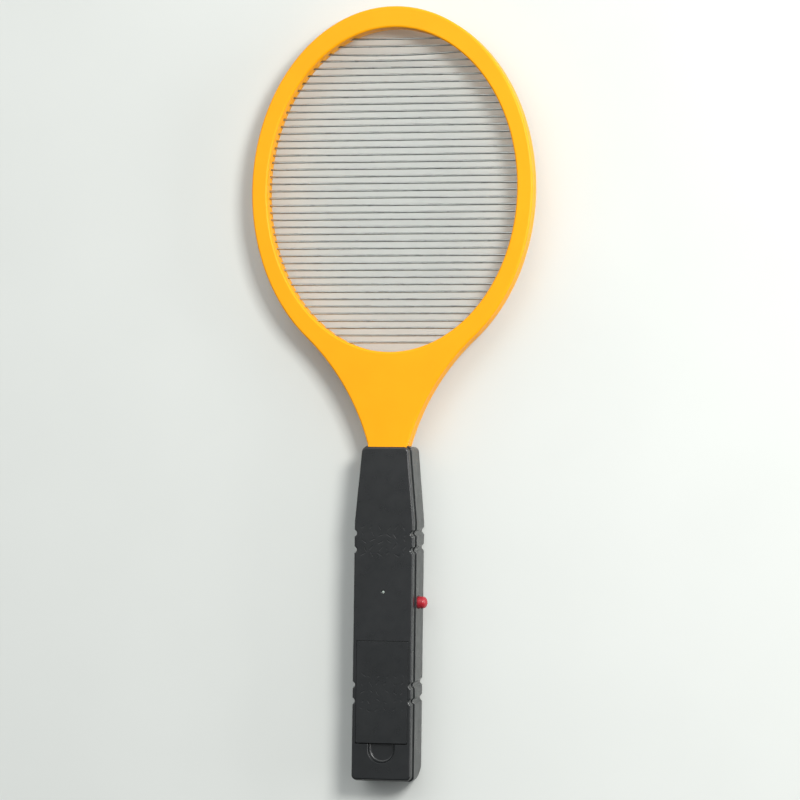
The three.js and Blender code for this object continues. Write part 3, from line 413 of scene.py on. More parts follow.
def tube_rings(points, radius, sides=12):
    """Rings of a round bar along a line of points, kept from twisting, with its two ends chamfered."""
    chamfer = radius * 0.4
    path = [Vector(p) for p in points]
    tangents = []
    for i in range(len(path)):
        ahead = path[min(i + 1, len(path) - 1)]
        behind = path[max(i - 1, 0)]
        tangents.append((ahead - behind).normalized())
    side = tangents[0].orthogonal().normalized()
    rings = []
    for point, along in zip(path, tangents):
        side = (side - along * side.dot(along)).normalized()
        other = along.cross(side)
        ring = []
        for x, y in arc(0, 0, radius, radius, 0, FULL_TURN, sides)[:-1]:
            ring.append(point + side * x + other * y)
        rings.append(ring)
    for end, inward in ((0, tangents[0]), (-1, -tangents[-1])):
        middle = path[end]
        cap = [middle + (p - middle) * (1 - chamfer / radius) for p in rings[end]]
        rings[end] = [p + inward * chamfer for p in rings[end]]
        if end == 0:
            rings.insert(0, cap)
        else:
            rings.append(cap)
    return rings


def combine(base, tools, how):
    """Joins other solids to a solid or cuts them out of it. The others are used up."""
    for tool in tools:
        change = base.modifiers.new("combine", "BOOLEAN")
        change.operation = how
        change.solver = "MANIFOLD"
        change.object = tool
    seen = base.evaluated_get(bpy.context.evaluated_depsgraph_get())
    made = bpy.data.meshes.new_from_object(seen)
    base.modifiers.clear()
    base.data = made
    for tool in tools:
        bpy.data.objects.remove(tool)
    return base


def join(base, *tools):
    """Adds solids to a solid."""
    return combine(base, tools, "UNION")


def cut(base, *tools):
    """Takes solids out of a solid."""
    return combine(base, tools, "DIFFERENCE")


def show(obj, node, material, body="swatter"):
    """Puts a finished solid in place of a CAD node, smooth but for its sharp edges."""
    obj.name = f"{node}_shown"
    obj.data.name = obj.name
    obj.data.materials.clear()
    obj.data.materials.append(material)
    obj.data.shade_smooth()
    obj.data.set_sharp_from_angle(angle=SHARP_ANGLE)
    weigh = obj.modifiers.new("even_normals", "WEIGHTED_NORMAL")
    weigh.keep_sharp = True
    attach(obj, body)
    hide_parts(node)


# -------- material helpers


def new_material(name, roughness, metallic=0.0):
    """A material, its shader, and the object's own coordinates in metres."""
    material = bpy.data.materials.new(name + FINISH)
    material.use_nodes = True
    tree = material.node_tree
    shader = tree.nodes["Principled BSDF"]
    shader.inputs["Roughness"].default_value = roughness
    shader.inputs["Metallic"].default_value = metallic
    place = tree.nodes.new("ShaderNodeTexCoord").outputs["Object"]
    return material, tree, shader, place


def noise(tree, place, scale, detail=3.0, stretch=(1, 1, 1)):
    """A noise value over the surface."""
    mapping = tree.nodes.new("ShaderNodeMapping")
    mapping.inputs["Scale"].default_value = stretch
    tree.links.new(place, mapping.inputs["Vector"])
    texture = tree.nodes.new("ShaderNodeTexNoise")
    texture.inputs["Scale"].default_value = scale
    texture.inputs["Detail"].default_value = detail
    tree.links.new(mapping.outputs["Vector"], texture.inputs["Vector"])
    return texture.outputs["Fac"]


def ramp(tree, value, stops, target):
    """Turns a value into a colour or a level through stops of (place, colour)."""
    node = tree.nodes.new("ShaderNodeValToRGB")
    elements = node.color_ramp.elements
    while len(elements) < len(stops):
        elements.new(0.5)
    for element, (at, colour) in zip(elements, stops):
        element.position = at
        element.color = (*colour, 1)
    tree.links.new(value, node.inputs["Fac"])
    tree.links.new(node.outputs["Color"], target)


def spread(tree, value, low, high, target, from_low=0.3, from_high=0.7):
    """Maps a value onto a range. A noise value stays about its middle."""
    node = tree.nodes.new("ShaderNodeMapRange")
    node.inputs["From Min"].default_value = from_low
    node.inputs["From Max"].default_value = from_high
    node.inputs["To Min"].default_value = low
    node.inputs["To Max"].default_value = high
    tree.links.new(value, node.inputs["Value"])
    tree.links.new(node.outputs["Result"], target)


def bump(tree, shader, value, strength, depth):
    """Raises the surface by a value, to a depth in metres."""
    node = tree.nodes.new("ShaderNodeBump")
    node.inputs["Strength"].default_value = strength
    node.inputs["Distance"].default_value = depth
    tree.links.new(value, node.inputs["Height"])
    tree.links.new(node.outputs["Normal"], shader.inputs["Normal"])


def moulded(name, dark, light, rough_low, rough_high, grain, grain_depth, shine=0.5):
    """Injection-moulded plastic: a slight drift in colour and sheen, and a fine grain."""
    material, tree, shader, place = new_material(name, rough_low)
    shader.inputs["Specular IOR Level"].default_value = shine
    drift = noise(tree, place, scale=28, detail=4)
    ramp(tree, drift, [(0.35, dark), (0.65, light)], shader.inputs["Base Color"])
    wear = noise(tree, place, scale=160, detail=5)
    spread(tree, wear, rough_low, rough_high, shader.inputs["Roughness"])
    bump(tree, shader, noise(tree, place, grain, detail=2), strength=0.35, depth=grain_depth)
    return material


def drawn_metal(name, dark, light, rough_low, rough_high, streak=(1, 1, 1)):
    """Bare metal with fine streaks along its working direction."""
    material, tree, shader, place = new_material(name, rough_low, 1.0)
    streaks = noise(tree, place, scale=900, detail=3, stretch=streak)
    ramp(tree, streaks, [(0.3, dark), (0.7, light)], shader.inputs["Base Color"])
    fine = noise(tree, place, scale=2500, detail=2, stretch=streak)
    spread(tree, fine, rough_low, rough_high, shader.inputs["Roughness"])
    bump(tree, shader, streaks, strength=0.15, depth=0.00002)
    return material


yellow_plastic = moulded(
    "yellow_plastic", (0.92, 0.366, 0.001), (0.95, 0.388, 0.002), 0.40, 0.50, 2600, 0.00003, shine=0.22
)
black_plastic = moulded(
    "black_plastic", (0.0080, 0.0094, 0.0100), (0.0118, 0.0132, 0.0142), 0.26, 0.35, 3800, 0.00003, shine=0.6
)
red_plastic = moulded("red_plastic", (0.335, 0.014, 0.026), (0.405, 0.022, 0.034), 0.22, 0.32, 2200, 0.00002)
grid_steel = drawn_metal("grid_steel", (0.38, 0.40, 0.38), (0.50, 0.52, 0.50), 0.24, 0.34, (0.05, 1, 1))
screw_steel = drawn_metal("screw_steel", (0.36, 0.36, 0.35), (0.55, 0.55, 0.54), 0.28, 0.45)
spring_steel = drawn_metal("spring_steel", (0.60, 0.60, 0.58), (0.78, 0.78, 0.76), 0.18, 0.32)
cell_jacket = moulded("cell_jacket", (0.020, 0.105, 0.050), (0.030, 0.140, 0.065), 0.24, 0.34, 900, 0.00002)
cell_metal = drawn_metal("cell_metal", (0.62, 0.62, 0.60), (0.80, 0.80, 0.78), 0.20, 0.34)
ferrite = moulded("ferrite", (0.018, 0.018, 0.020), (0.035, 0.034, 0.036), 0.55, 0.80, 3000, 0.00012)
nylon = moulded("nylon", (0.74, 0.71, 0.62), (0.80, 0.77, 0.68), 0.38, 0.50, 2000, 0.00002)
winding_tape = moulded("winding_tape", (0.62, 0.42, 0.03), (0.72, 0.50, 0.05), 0.25, 0.38, 700, 0.00004)
capacitor_epoxy = moulded(
    "capacitor_epoxy", (0.20, 0.030, 0.018), (0.28, 0.042, 0.024), 0.22, 0.34, 500, 0.00010
)
ceramic_blue = moulded("ceramic_blue", (0.035, 0.12, 0.35), (0.045, 0.15, 0.42), 0.30, 0.44, 900, 0.00006)
resistor_coat = moulded("resistor_coat", (0.50, 0.36, 0.20), (0.60, 0.44, 0.26), 0.35, 0.50, 1200, 0.00005)
dark_resin = moulded("dark_resin", (0.010, 0.010, 0.011), (0.018, 0.018, 0.019), 0.38, 0.55, 2600, 0.00004)
board_resin = moulded("board_resin", (0.26, 0.17, 0.05), (0.34, 0.23, 0.08), 0.42, 0.60, 1500, 0.00006)
red_lead = moulded("red_lead", (0.40, 0.015, 0.014), (0.48, 0.022, 0.018), 0.35, 0.48, 1400, 0.00004)
black_lead = moulded("black_lead", (0.012, 0.012, 0.013), (0.020, 0.020, 0.022), 0.38, 0.52, 1400, 0.00004)


def lamp_lens():
    """Unlit lamp: milky clear epoxy."""
    material, tree, shader, place = new_material("lens", 0.12)
    cloud = noise(tree, place, scale=400, detail=2)
    ramp(tree, cloud, [(0.3, (0.60, 0.70, 0.64)), (0.7, (0.72, 0.82, 0.75))], shader.inputs["Base Color"])
    shader.inputs["Transmission Weight"].default_value = 0.35
    return material


lens = lamp_lens()


# -------- head


def head_outline(inset):
    """The ellipse of the head run into the neck by one concave arc on each side, shrunk by an inset."""
    a = HEAD_HALF_WIDTH - inset
    b = HEAD_HALF_LENGTH - inset
    start = -math.asin(THROAT_START_DROP / HEAD_HALF_LENGTH)
    top = Vector((a * math.cos(start), head_y + b * math.sin(start)))
    low = Vector((NECK_HALF - inset, neck_end_y))
    out = Vector((math.cos(start) / a, math.sin(start) / b)).normalized()
    across = top - low
    radius = -across.length_squared / (2 * out.dot(across))
    centre = top + out * radius
    first = math.atan2(low.y - centre.y, low.x - centre.x)
    last = math.atan2(top.y - centre.y, top.x - centre.x)
    throat = arc(centre.x, centre.y, radius, radius, first, last, 28)
    crown = arc(0, head_y, a, b, start, math.pi - start, 180)[1:-1]
    mirrored = [(-x, y) for x, y in reversed(throat)]
    return throat + crown + mirrored + [(-low.x, low.y), (low.x, low.y)]


def opening_outline(offset):
    """The ellipse of the opening, grown by an offset."""
    rx = opening_half_width + offset
    ry = opening_half_length + offset
    return arc(0, head_y, rx, ry, 0, FULL_TURN, 200)[:-1]


def rounded_levels(z0, z1, round_low, round_high, steps=5):
    """(inset, z) pairs up a side wall whose lower and upper edges are rounded."""
    levels = []
    for i in range(steps + 1):
        angle = QUARTER * i / steps
        levels.append((round_low * (1 - math.sin(angle)), z0 + round_low * (1 - math.cos(angle))))
    for i in range(steps + 1):
        angle = QUARTER * i / steps
        levels.append((round_high * (1 - math.cos(angle)), z1 - round_high * (1 - math.sin(angle))))
    return levels


def head_half(z0, z1, round_low, round_high):
    """One half of the head: the ring with its neck and its tang, edges rounded."""
    levels = rounded_levels(z0, z1, round_low, round_high)
    body = solid_through([raised(head_outline(inset), z) for inset, z in levels])
    flare = PAST / 2
    hole = [raised(opening_outline(levels[0][0] + flare), z0 - flare)]
    hole += [raised(opening_outline(inset), z) for inset, z in levels]
    hole.append(raised(opening_outline(levels[-1][0] + flare), z1 + flare))
    body = cut(body, solid_through(hole))
    return join(body, block(-TANG_HALF, TANG_HALF, tang_end_y, neck_end_y + 2 * BITE, z0, z1))


def head_hollow(z0, z1):
    """The room inside one half of the head, between its walls and down through its tang."""
    wide = solid_through([raised(head_outline(HEAD_WALL), z) for z in (z0, z1)])
    middle = [raised(opening_outline(HEAD_WALL), z) for z in (z0 - PAST, z1 + PAST)]
    wide = cut(wide, solid_through(middle))
    half = TANG_HALF - TANG_WALL
    return join(wide, block(-half, half, tang_end_y - PAST, neck_end_y + BITE, z0, z1))


def head_bosses(z0, z1):
    """The screw bosses of one half of the head, and the wall round the hole through its tang."""
    bosses = [pin_rings(HEAD_BOSS_RADIUS, z0, z1, x, y) for x, y, _ in head_screws]
    bosses.append(pin_rings(TANG_HOLE_RADIUS + TANG_HOLE_WALL, z0, z1, 0, tang_screw_y))
    return several_solids(bosses)


def tang_hole():
    """The hole in the tang that a boss of the handle passes through."""
    return solid_through(pin_rings(TANG_HOLE_RADIUS, 0, handle_depth, 0, tang_screw_y))


def head_front():
    """The front half of the head, with bosses that take the screws."""
    floor_z = head_front_z - HEAD_WALL
    body = head_half(front_rim_bottom_z, head_front_z, SEAM_ROUND, HEAD_ROUND)
    body = cut(body, head_hollow(front_rim_bottom_z - PAST, floor_z))
    body = join(body, head_bosses(front_rim_bottom_z, floor_z + BITE))
    pilot_end_z = head_front_z - HEAD_PILOT_SKIN
    body = cut(body, pins(HEAD_PILOT_RADIUS, front_rim_bottom_z - PAST, pilot_end_z, head_screws))
    body = cut(body, tang_hole())
    show(body, "head_front_frame", yellow_plastic)


def rim_x(offset, y):
    """Half of the opening's width at a height, for an ellipse grown by an offset."""
    reach = (y - head_y) / (opening_half_length + offset)
    return (opening_half_width + offset) * math.sqrt(1 - reach * reach)


def wire_height(i):
    """Y of a wire, counted from the neck."""
    return lowest_wire_y + i * WIRE_PITCH


def head_rear():
    """The rear half of the head, with counterbored screw holes and a notch for each wire."""
    floor_z = head_back_z + HEAD_WALL
    body = head_half(head_back_z, back_rim_top_z, HEAD_ROUND, SEAM_ROUND)
    body = cut(body, head_hollow(floor_z, back_rim_top_z + PAST))
    body = join(body, head_bosses(floor_z - BITE, back_rim_top_z))
    outside_z = head_back_z - PAST
    seat_z = head_screws[0][2] + HEAD_SEAT_DEPTH
    body = cut(body, pins(HEAD_COUNTERBORE_RADIUS, outside_z, seat_z, head_screws), tang_hole())
    body = cut(body, pins(HEAD_SHAFT_RADIUS, outside_z, back_rim_top_z + PAST, head_screws))
    slot = WIRE_RADIUS + WIRE_ROOM
    notches = []
    for i in range(WIRE_COUNT):
        y = wire_height(i)
        reach = rim_x(HEAD_WALL + PAST, y)
        notches.append(block_rings(-reach, reach, y - slot, y + slot, wire_z - slot, back_rim_top_z + PAST))
    body = cut(body, several_solids(notches))
    show(body, "head_rear_frame", yellow_plastic)


# -------- grid

chance = random.Random(5)


def wire_path(i, x0, x1):
    """A wire from its fixed end to its free end: nearly straight, and one is loose."""
    y = wire_height(i)
    sway = chance.uniform(-WIRE_SWAY, WIRE_SWAY)
    lean = chance.uniform(-WIRE_LEAN, WIRE_LEAN)
    steps = 24
    points = []
    for k in range(steps + 1):
        share = k / steps
        arch = math.sin(math.pi * share)
        up = sway * arch + lean * (share - 0.5)
        if i == LOOSE_WIRE:
            up = -LOOSE_DIP * arch + LOOSE_RISE * share
        points.append((x0 + (x1 - x0) * share, y + up, wire_z))
    return points


def grid_comb(node, side, first):
    """A bus bar along one side of the opening with every second wire welded to it."""
    bus_end = wire_height(0) - BUS_TAIL
    middle = BUS_OFFSET + BUS_WIDTH / 2
    inner_half_length = opening_half_length + BUS_OFFSET
    low = math.asin((bus_end - head_y) / inner_half_length)
    high = math.asin((wire_height(WIRE_COUNT - 1) + BUS_TIP - head_y) / inner_half_length)
    steps = 90
    bar = []
    for k in range(steps + 1):
        angle = low + (high - low) * k / steps
        section = []
        for offset, z in ((0, -1), (1, -1), (1, 1), (0, 1)):
            rx = side * (opening_half_width + BUS_OFFSET + offset * BUS_WIDTH)
            ry = inner_half_length + offset * BUS_WIDTH
            point = (rx * math.cos(angle), head_y + ry * math.sin(angle), wire_z + z * WIRE_RADIUS)
            section.append(point)
        bar.append(section if side < 0 else section[::-1])
    groups = []
    for i in range(first, WIRE_COUNT, 2):
        y = wire_height(i)
        path = wire_path(i, side * rim_x(middle, y), -side * rim_x(WIRE_BITE, y))
        groups.append(tube_rings(path, WIRE_RADIUS))
    comb = several_solids([bar, *groups])
    show(comb, node, grid_steel)


# -------- handle


def groove_offsets():
    """(distance from the middle of a groove, depth) across it, with a soft V section."""
    half = GROOVE_HEIGHT / 2
    # Shares of the half height and of the depth, from the lower lip to the middle
    shape = [(1.0, 0), (0.86, 0.12), (0.6, 0.55), (0.38, 0.88), (0.2, 0.98), (0, 1)]
    upward = [(-half * reach, GROOVE_DEPTH * depth) for reach, depth in shape]
    return upward + [(-offset, depth) for offset, depth in reversed(upward[:-1])]


def side_points(half, z):
    """The right side wall up to where it starts to taper, with the finger grooves pressed in."""
    points = []
    shift = (handle_depth / 2 - z) * math.tan(GROOVE_TILT)
    for drop in reversed(GROOVE_DROPS):
        for offset, depth in groove_offsets():
            points.append((half - depth, handle_top_y - drop + shift + offset))
    points.append((half, handle_top_y - TAPER_LENGTH))
    return points


def handle_outline(inset, z, bottom_y, step=0.0, plain=False):
    """The handle seen from the front at a height, shrunk by an inset, with its grooves unless it is plain."""
    half = handle_half - step - inset
    top_half = HANDLE_TOP_HALF - step - inset
    top_y = handle_top_y - step - inset
    low = max(BOTTOM_CORNER - inset, LEAST_CORNER)
    high = max(TOP_CORNER - inset, LEAST_CORNER)
    lean = math.atan2(half - top_half, TAPER_LENGTH)
    right = arc(half - low, bottom_y + low, low, low, -QUARTER, 0, 8)
    if plain:
        right.append((half, handle_top_y - TAPER_LENGTH))
    else:
        right += side_points(half, z)
    right += arc(top_half - high, top_y - high, high, high, lean, QUARTER, 8)
    return right + [(-x, y) for x, y in reversed(right)]


def heel_y(z, inset=0.0):
    """Lower end of the handle at a height: the back of the butt is rounded off."""
    length = HEEL_LENGTH - inset
    depth = HEEL_DEPTH - inset
    below = min(max((HEEL_DEPTH - z) / depth, 0), 1)
    return butt_y + HEEL_LENGTH - length * math.sqrt(1 - below * below)


def rear_blank():
    """The rear shell before it is hollowed, rounded along its back edges and at its heel."""
    levels = rounded_levels(0, rear_top_z, BACK_ROUND, SEAM_ROUND)
    levels += [(0, z) for z in HEEL_HEIGHTS]
    for z in BACK_EDGE_HEIGHTS:
        angle = math.acos(1 - z / BACK_ROUND)
        levels.append((BACK_ROUND * (1 - math.sin(angle)), z))
    levels.sort(key=lambda level: level[1])
    rings = []
    for inset, z in levels:
        bottom = max(heel_y(z), butt_y + inset)
        rings.append(raised(handle_outline(inset, z, bottom), z))
    return solid_through(rings)


def rear_hollow():
    """The room inside the rear shell, which follows the heel."""
    rings = []
    for z in (HANDLE_SKIN, HANDLE_SKIN + 0.3, *HEEL_HEIGHTS, rear_top_z + PAST):
        bottom = max(heel_y(z, HANDLE_SKIN), butt_y + HANDLE_WALL)
        rings.append(raised(handle_outline(HANDLE_WALL, z, bottom, plain=True), z))
    return solid_through(rings)


def tang_ribs(z0, z1):
    """The two ribs of one shell that clamp the tang, as rings of closed solids."""
    half = TANG_RIB_HALF_WIDTH
    return [block_rings(-half, half, y - TANG_RIB_HALF, y + TANG_RIB_HALF, z0, z1) for y in tang_rib_places]


def rear_fittings():
    """Bulkheads, cell cradles, tang ribs, board posts and screw bosses on the back wall."""
    reach = wall_inside_x + 2 * BITE
    low_z = POST_START
    groups = [
        block_rings(-reach, reach, bay_top_y, bay_top_y + BULKHEAD, low_z, bulkhead_top_z),
        block_rings(-reach, reach, bay_bottom_y - BULKHEAD, bay_bottom_y, low_z, bulkhead_top_z),
    ]
    cradle_top_z = cell_z - CELL_RADIUS / 2
    for share in CRADLE_SHARES:
        y = cell_1_low.y + CELL_LENGTH * share
        groups.append(block_rings(-reach, reach, y - CRADLE_HALF, y + CRADLE_HALF, low_z, cradle_top_z))
    groups += tang_ribs(low_z, head_back_z - FIT_GAP)
    for x, y in board_posts:
        groups.append(pin_rings(BOARD_POST_RADIUS, low_z, board_low.z - FIT_GAP, x, y))
    for x, y, _ in handle_screws:
        groups.append(pin_rings(BOSS_RADIUS, low_z, boss_seam_z - FIT_GAP / 2, x, y))
    return several_solids(groups)


def button_room():
    """The hole for the push button, with a chamfer at the outer face."""
    chamfer_end = BUTTON_ROOM_RADIUS + BUTTON_CHAMFER
    profile = [
        (BUTTON_ROOM_RADIUS, wall_inside_x - PAST),
        (BUTTON_ROOM_RADIUS, handle_half - BUTTON_CHAMFER),
        (chamfer_end, handle_half),
        (chamfer_end + BUTTON_CHAMFER, handle_half + BUTTON_CHAMFER),
    ]
    return turned(profile, 48, "x", (0, button_y, button_z))


def cell_rooms():
    """The two round troughs in which the cells lie."""
    room = CELL_RADIUS + FIT_GAP
    end_skin = 0.1
    profile = [(room, bay_bottom_y + end_skin), (room, bay_top_y - end_skin)]
    return [turned(profile, 48, "y", (side * cell_x, 0, cell_z)) for side in (-1, 1)]


def handle_rear():
    """The rear shell of the handle, with everything that stands on its back wall."""
    body = cut(rear_blank(), rear_hollow())
    body = join(body, rear_fittings())
    body = cut(body, *cell_rooms())
    slot = TANG_HALF + SLIDE_GAP
    slot_bottom = handle_top_y - HANDLE_WALL - PAST
    tang_floor_z = head_back_z - FIT_GAP
    body = cut(body, block(-slot, slot, slot_bottom, handle_top_y + PAST, tang_floor_z, handle_depth))
    seat_z = handle_screws[0][2] + HANDLE_SEAT_DEPTH
    body = cut(
        body,
        pins(HANDLE_COUNTERBORE_RADIUS, -PAST, seat_z, handle_screws),
        pins(BOARD_PILOT_RADIUS, HANDLE_SKIN, board_low.z + PAST, board_screw_posts),
    )
    body = cut(body, pins(HANDLE_SHAFT_RADIUS, 0, boss_seam_z + PAST, handle_screws))
    body = cut(body, button_room())
    show(body, "handle_rear_shell", black_plastic)


def nail_recess(grow):
    """Straight sides below the cover's edge, closed by a half circle."""
    half = NAIL_RECESS_HALF + grow
    straight = NAIL_RECESS_LENGTH - NAIL_RECESS_HALF
    under_cover_y = cover_bottom_y + 0.4
    outline = [(half, under_cover_y), (-half, under_cover_y)]
    return outline + arc(0, cover_bottom_y - straight, half, half, math.pi, FULL_TURN, 32)


def stroke_outline(x, y, tilt, length, half_width):
    """A round-ended bar about a point, from a length on one side of it to the same on the other."""
    along = (math.cos(tilt) * length, math.sin(tilt) * length)
    ends = arc(x + along[0], y + along[1], half_width, half_width, tilt - QUARTER, tilt + QUARTER, 6)
    start, end = tilt + QUARTER, tilt + 3 * QUARTER
    return ends + arc(x - along[0], y - along[1], half_width, half_width, start, end, 6)


def grip_marks(band, seed):
    """Shallow strokes scattered over a band of the front face, from its lower end to its upper one."""
    scatter = random.Random(seed)
    groups = []
    y0, y1 = band
    for row in range(MARK_ROWS):
        y = y0 + (y1 - y0) * (row + 0.5) / MARK_ROWS
        for column in range(MARK_COLUMNS):
            middle_x = (column + 0.5 - MARK_COLUMNS / 2) * MARK_SPACING
            x = middle_x + scatter.uniform(-MARK_SCATTER, MARK_SCATTER)
            middle = y + scatter.uniform(-MARK_SCATTER, MARK_SCATTER)
            tilt = scatter.choice(MARK_TILTS)
            length = scatter.uniform(*MARK_LENGTHS)
            top = stroke_outline(x, middle, tilt, length, MARK_HALF_WIDTH)
            floor_length = length * MARK_FLOOR_SHARE
            bottom = stroke_outline(x, middle, tilt, floor_length, MARK_FLOOR_HALF_WIDTH)
            groups.append([raised(bottom, handle_depth - MARK_DEPTH), raised(top, handle_depth + MARK_PAST)])
    return several_solids(groups)


def front_fittings():
    """Tang ribs, cover ledges and the lamp's sleeve under the front wall."""
    top_z = front_inside_z + BITE
    ledge_bottom = cover_ledge_z - COVER_LEDGE_DEPTH
    groups = tang_ribs(head_front_z + FIT_GAP, top_z)
    for side in (-1, 1):
        x0, x1 = sorted((side * cover_ledge_x, side * (front_half - HANDLE_WALL + BITE)))
        groups.append(block_rings(x0, x1, cover_room_y - PAST, hinge_y + PAST, ledge_bottom, top_z))
    groups.append(pin_rings(LED_SLEEVE_RADIUS, led_low.z + LED_SLEEVE_RISE, top_z, 0, led_y))
    return several_solids(groups)


def lamp_room():
    """The room for the lamp's body and the small hole that it shines through."""
    profile = [
        (LED_ROOM_RADIUS, led_low.z),
        (LED_ROOM_RADIUS, front_inside_z),
        (LED_HOLE_RADIUS, front_inside_z),
        (LED_HOLE_RADIUS, handle_depth - 0.2),
        (LED_HOLE_RADIUS + 0.3, handle_depth + 0.1),
    ]
    return turned(profile, 32, "z", (0, led_y, 0))


def nail_bowl():
    """The fingernail recess, from its dished floor to the rounded edge at the front face."""
    levels = [
        (-1.6, nail_floor_z),
        (-0.9, nail_floor_z + 0.25),
        (-0.4, nail_floor_z + 0.8),
        (-0.1, nail_floor_z + 1.6),
        (0, handle_depth - 0.35),
        (0.12, handle_depth - 0.12),
        (0.45, handle_depth + 0.1),
    ]
    return solid_through([raised(nail_recess(grow), z) for grow, z in levels])


def handle_front():
    """The front shell of the handle, with the room for the battery cover and the recess below it."""
    step = handle_half - front_half
    rings = []
    for inset, z in rounded_levels(seam_z, handle_depth, SEAM_ROUND, FRONT_ROUND, 6):
        rings.append(raised(handle_outline(inset, z, butt_y + step + inset, step), z))
    body = solid_through(rings)
    wall_outline = handle_outline(HANDLE_WALL, 0, butt_y + step + HANDLE_WALL, step, plain=True)
    body = cut(body, solid_through([raised(wall_outline, z) for z in (seam_z - PAST, front_inside_z)]))

    body = join(body, front_fittings())
    boss_low_z = boss_seam_z + FIT_GAP / 2
    body = join(body, pins(FRONT_BOSS_RADIUS, boss_low_z, front_inside_z + BITE, handle_screws))
    recess_wall = [nail_floor_z - NAIL_RECESS_WALL, front_inside_z + BITE]
    body = join(body, solid_through([raised(nail_recess(NAIL_RECESS_WALL), z) for z in recess_wall]))

    room_half = cover_half + SLIDE_GAP
    above_z = handle_depth + PAST
    body = cut(body, block(-room_half, room_half, cover_room_y, hinge_y, cover_ledge_z, above_z))
    below_z = cover_ledge_z - COVER_LEDGE_DEPTH - PAST
    body = cut(body, block(-cover_ledge_x, cover_ledge_x, cover_room_y, hinge_y, below_z, handle_depth))
    body = cut(body, nail_bowl())
    body = cut(body, pins(HANDLE_PILOT_RADIUS, boss_seam_z - PAST, front_inside_z, handle_screws))
    body = cut(body, lamp_room())
    body = cut(body, grip_marks([handle_top_y - drop for drop in UPPER_MARK_DROPS], seed=3))
    show(body, "handle_front_shell", black_plastic)


# -------- battery cover


def battery_cover():
    """The flush plate with stiffening ribs, two hinge tabs at its upper edge and a latch at its lower."""
    length = cover_top_y - cover_bottom_y
    middle = (cover_top_y + cover_bottom_y) / 2
    rings = []
    for inset, z in rounded_levels(cover_inside_z, handle_depth, COVER_EDGE, COVER_EDGE, 4):
        outline = rounded_rectangle(cover_half + COVER_SNUG - inset, length / 2 - inset, COVER_CORNER)
        rings.append([(x, y + middle, z) for x, y in outline])
    body = solid_through(rings)

    into_plate_z = cover_inside_z + COVER_BITE
    root_y = cover_top_y - TAB_ROOT
    tab_top = front_inside_z - FIT_GAP
    for side in (-1, 1):
        x = side * (cover_half - TAB_INSET)
        x0, x1 = x - TAB_HALF, x + TAB_HALF
        tongue = block(x0, x1, root_y, cover_top_y + TAB_REACH, tab_top - TAB_THICKNESS, tab_top)
        root = block(x0, x1, root_y, cover_top_y, tab_top - BITE, into_plate_z)
        body = join(body, tongue, root)
    latch_low_z = cover_inside_z - LATCH_DEPTH
    latch_top_y = cover_bottom_y + LATCH_LENGTH
    body = join(body, block(-LATCH_HALF, LATCH_HALF, cover_bottom_y, latch_top_y, latch_low_z, into_plate_z))
    rib = cover_ledge_x - COVER_RIB_ROOM
    rib_low_z = cover_inside_z - COVER_RIB_DEPTH
    for share in COVER_RIB_SHARES:
        y = cover_bottom_y + length * share
        body = join(body, block(-rib, rib, y - COVER_RIB_HALF, y + COVER_RIB_HALF, rib_low_z, into_plate_z))
    body = cut(body, grip_marks([cover_bottom_y + rise for rise in LOWER_MARK_RISES], seed=8))
    show(body, "battery_cover", black_plastic, "cover")


# -------- button


def push_button():
    """A domed cap on a stem, with a flange that keeps it in the wall."""
    flange = BUTTON_RADIUS + BUTTON_FLANGE
    inner_x = button_low.x
    tip_x = button_high.x
    flange_x = wall_inside_x - FIT_GAP
    dome_x = tip_x - BUTTON_RADIUS * BUTTON_DOME
    inner_edge = 0.15
    outer_edge = 0.1
    profile = [
        (AXIS_RADIUS, inner_x),
        (flange - inner_edge, inner_x),
        (flange, inner_x + inner_edge),
        (flange, flange_x - outer_edge),
        (flange - outer_edge, flange_x),
        (BUTTON_RADIUS, flange_x),
    ]
    for across, along in arc(0, 0, BUTTON_RADIUS, tip_x - dome_x, 0, QUARTER, 12):
        profile.append((max(across, AXIS_RADIUS), dome_x + along))
    body = turned(profile, 48, "x", (0, button_y, button_z))
    show(body, "push_button", red_plastic, "button")


# -------- screws


def screw(node, x, y, outer_z, sizes, facing=1):
    """A pan-head screw with a cross recess and a coarse thread. Its shank points along facing times Z."""
    head_radius, head_height, shank_radius, length = sizes
    flat_share = 0.45
    crown_height = head_height * 0.45
    root_radius = shank_radius * 0.8
    plain_length = 0.5
    profile = [(AXIS_RADIUS, 0)]
    for i in range(1, 7):
        angle = QUARTER * i / 6
        across = head_radius * (flat_share + (1 - flat_share) * math.sin(angle))
        profile.append((across, crown_height * (1 - math.cos(angle))))
    profile.append((head_radius, head_height * 0.9))
    profile.append((head_radius - 0.08, head_height))
    profile.append((shank_radius, head_height))
    for k in range(int((length - head_height - 2 * plain_length) / THREAD_PITCH)):
        z = head_height + plain_length + k * THREAD_PITCH
        profile.append((root_radius, z))
        profile.append((shank_radius, z + THREAD_PITCH * 0.4))
        profile.append((shank_radius, z + THREAD_PITCH * 0.5))
    profile += [(root_radius, length - 0.4), (shank_radius * 0.3, length)]
    profile = [(radius, outer_z + facing * z) for radius, z in profile]
    if facing < 0:
        profile.reverse()
    body = turned(profile, 32, "z", (x, y, 0))
    arm = head_radius * 0.6
    arm_half = head_radius * 0.16
    recess_depth = head_height * 0.6
    z0, z1 = sorted((outer_z - facing * PAST, outer_z + facing * recess_depth))
    body = cut(body, block(x - arm, x + arm, y - arm_half, y + arm_half, z0, z1))
    body = cut(body, block(x - arm_half, x + arm_half, y - arm, y + arm, z0, z1))
    show(body, node, screw_steel)


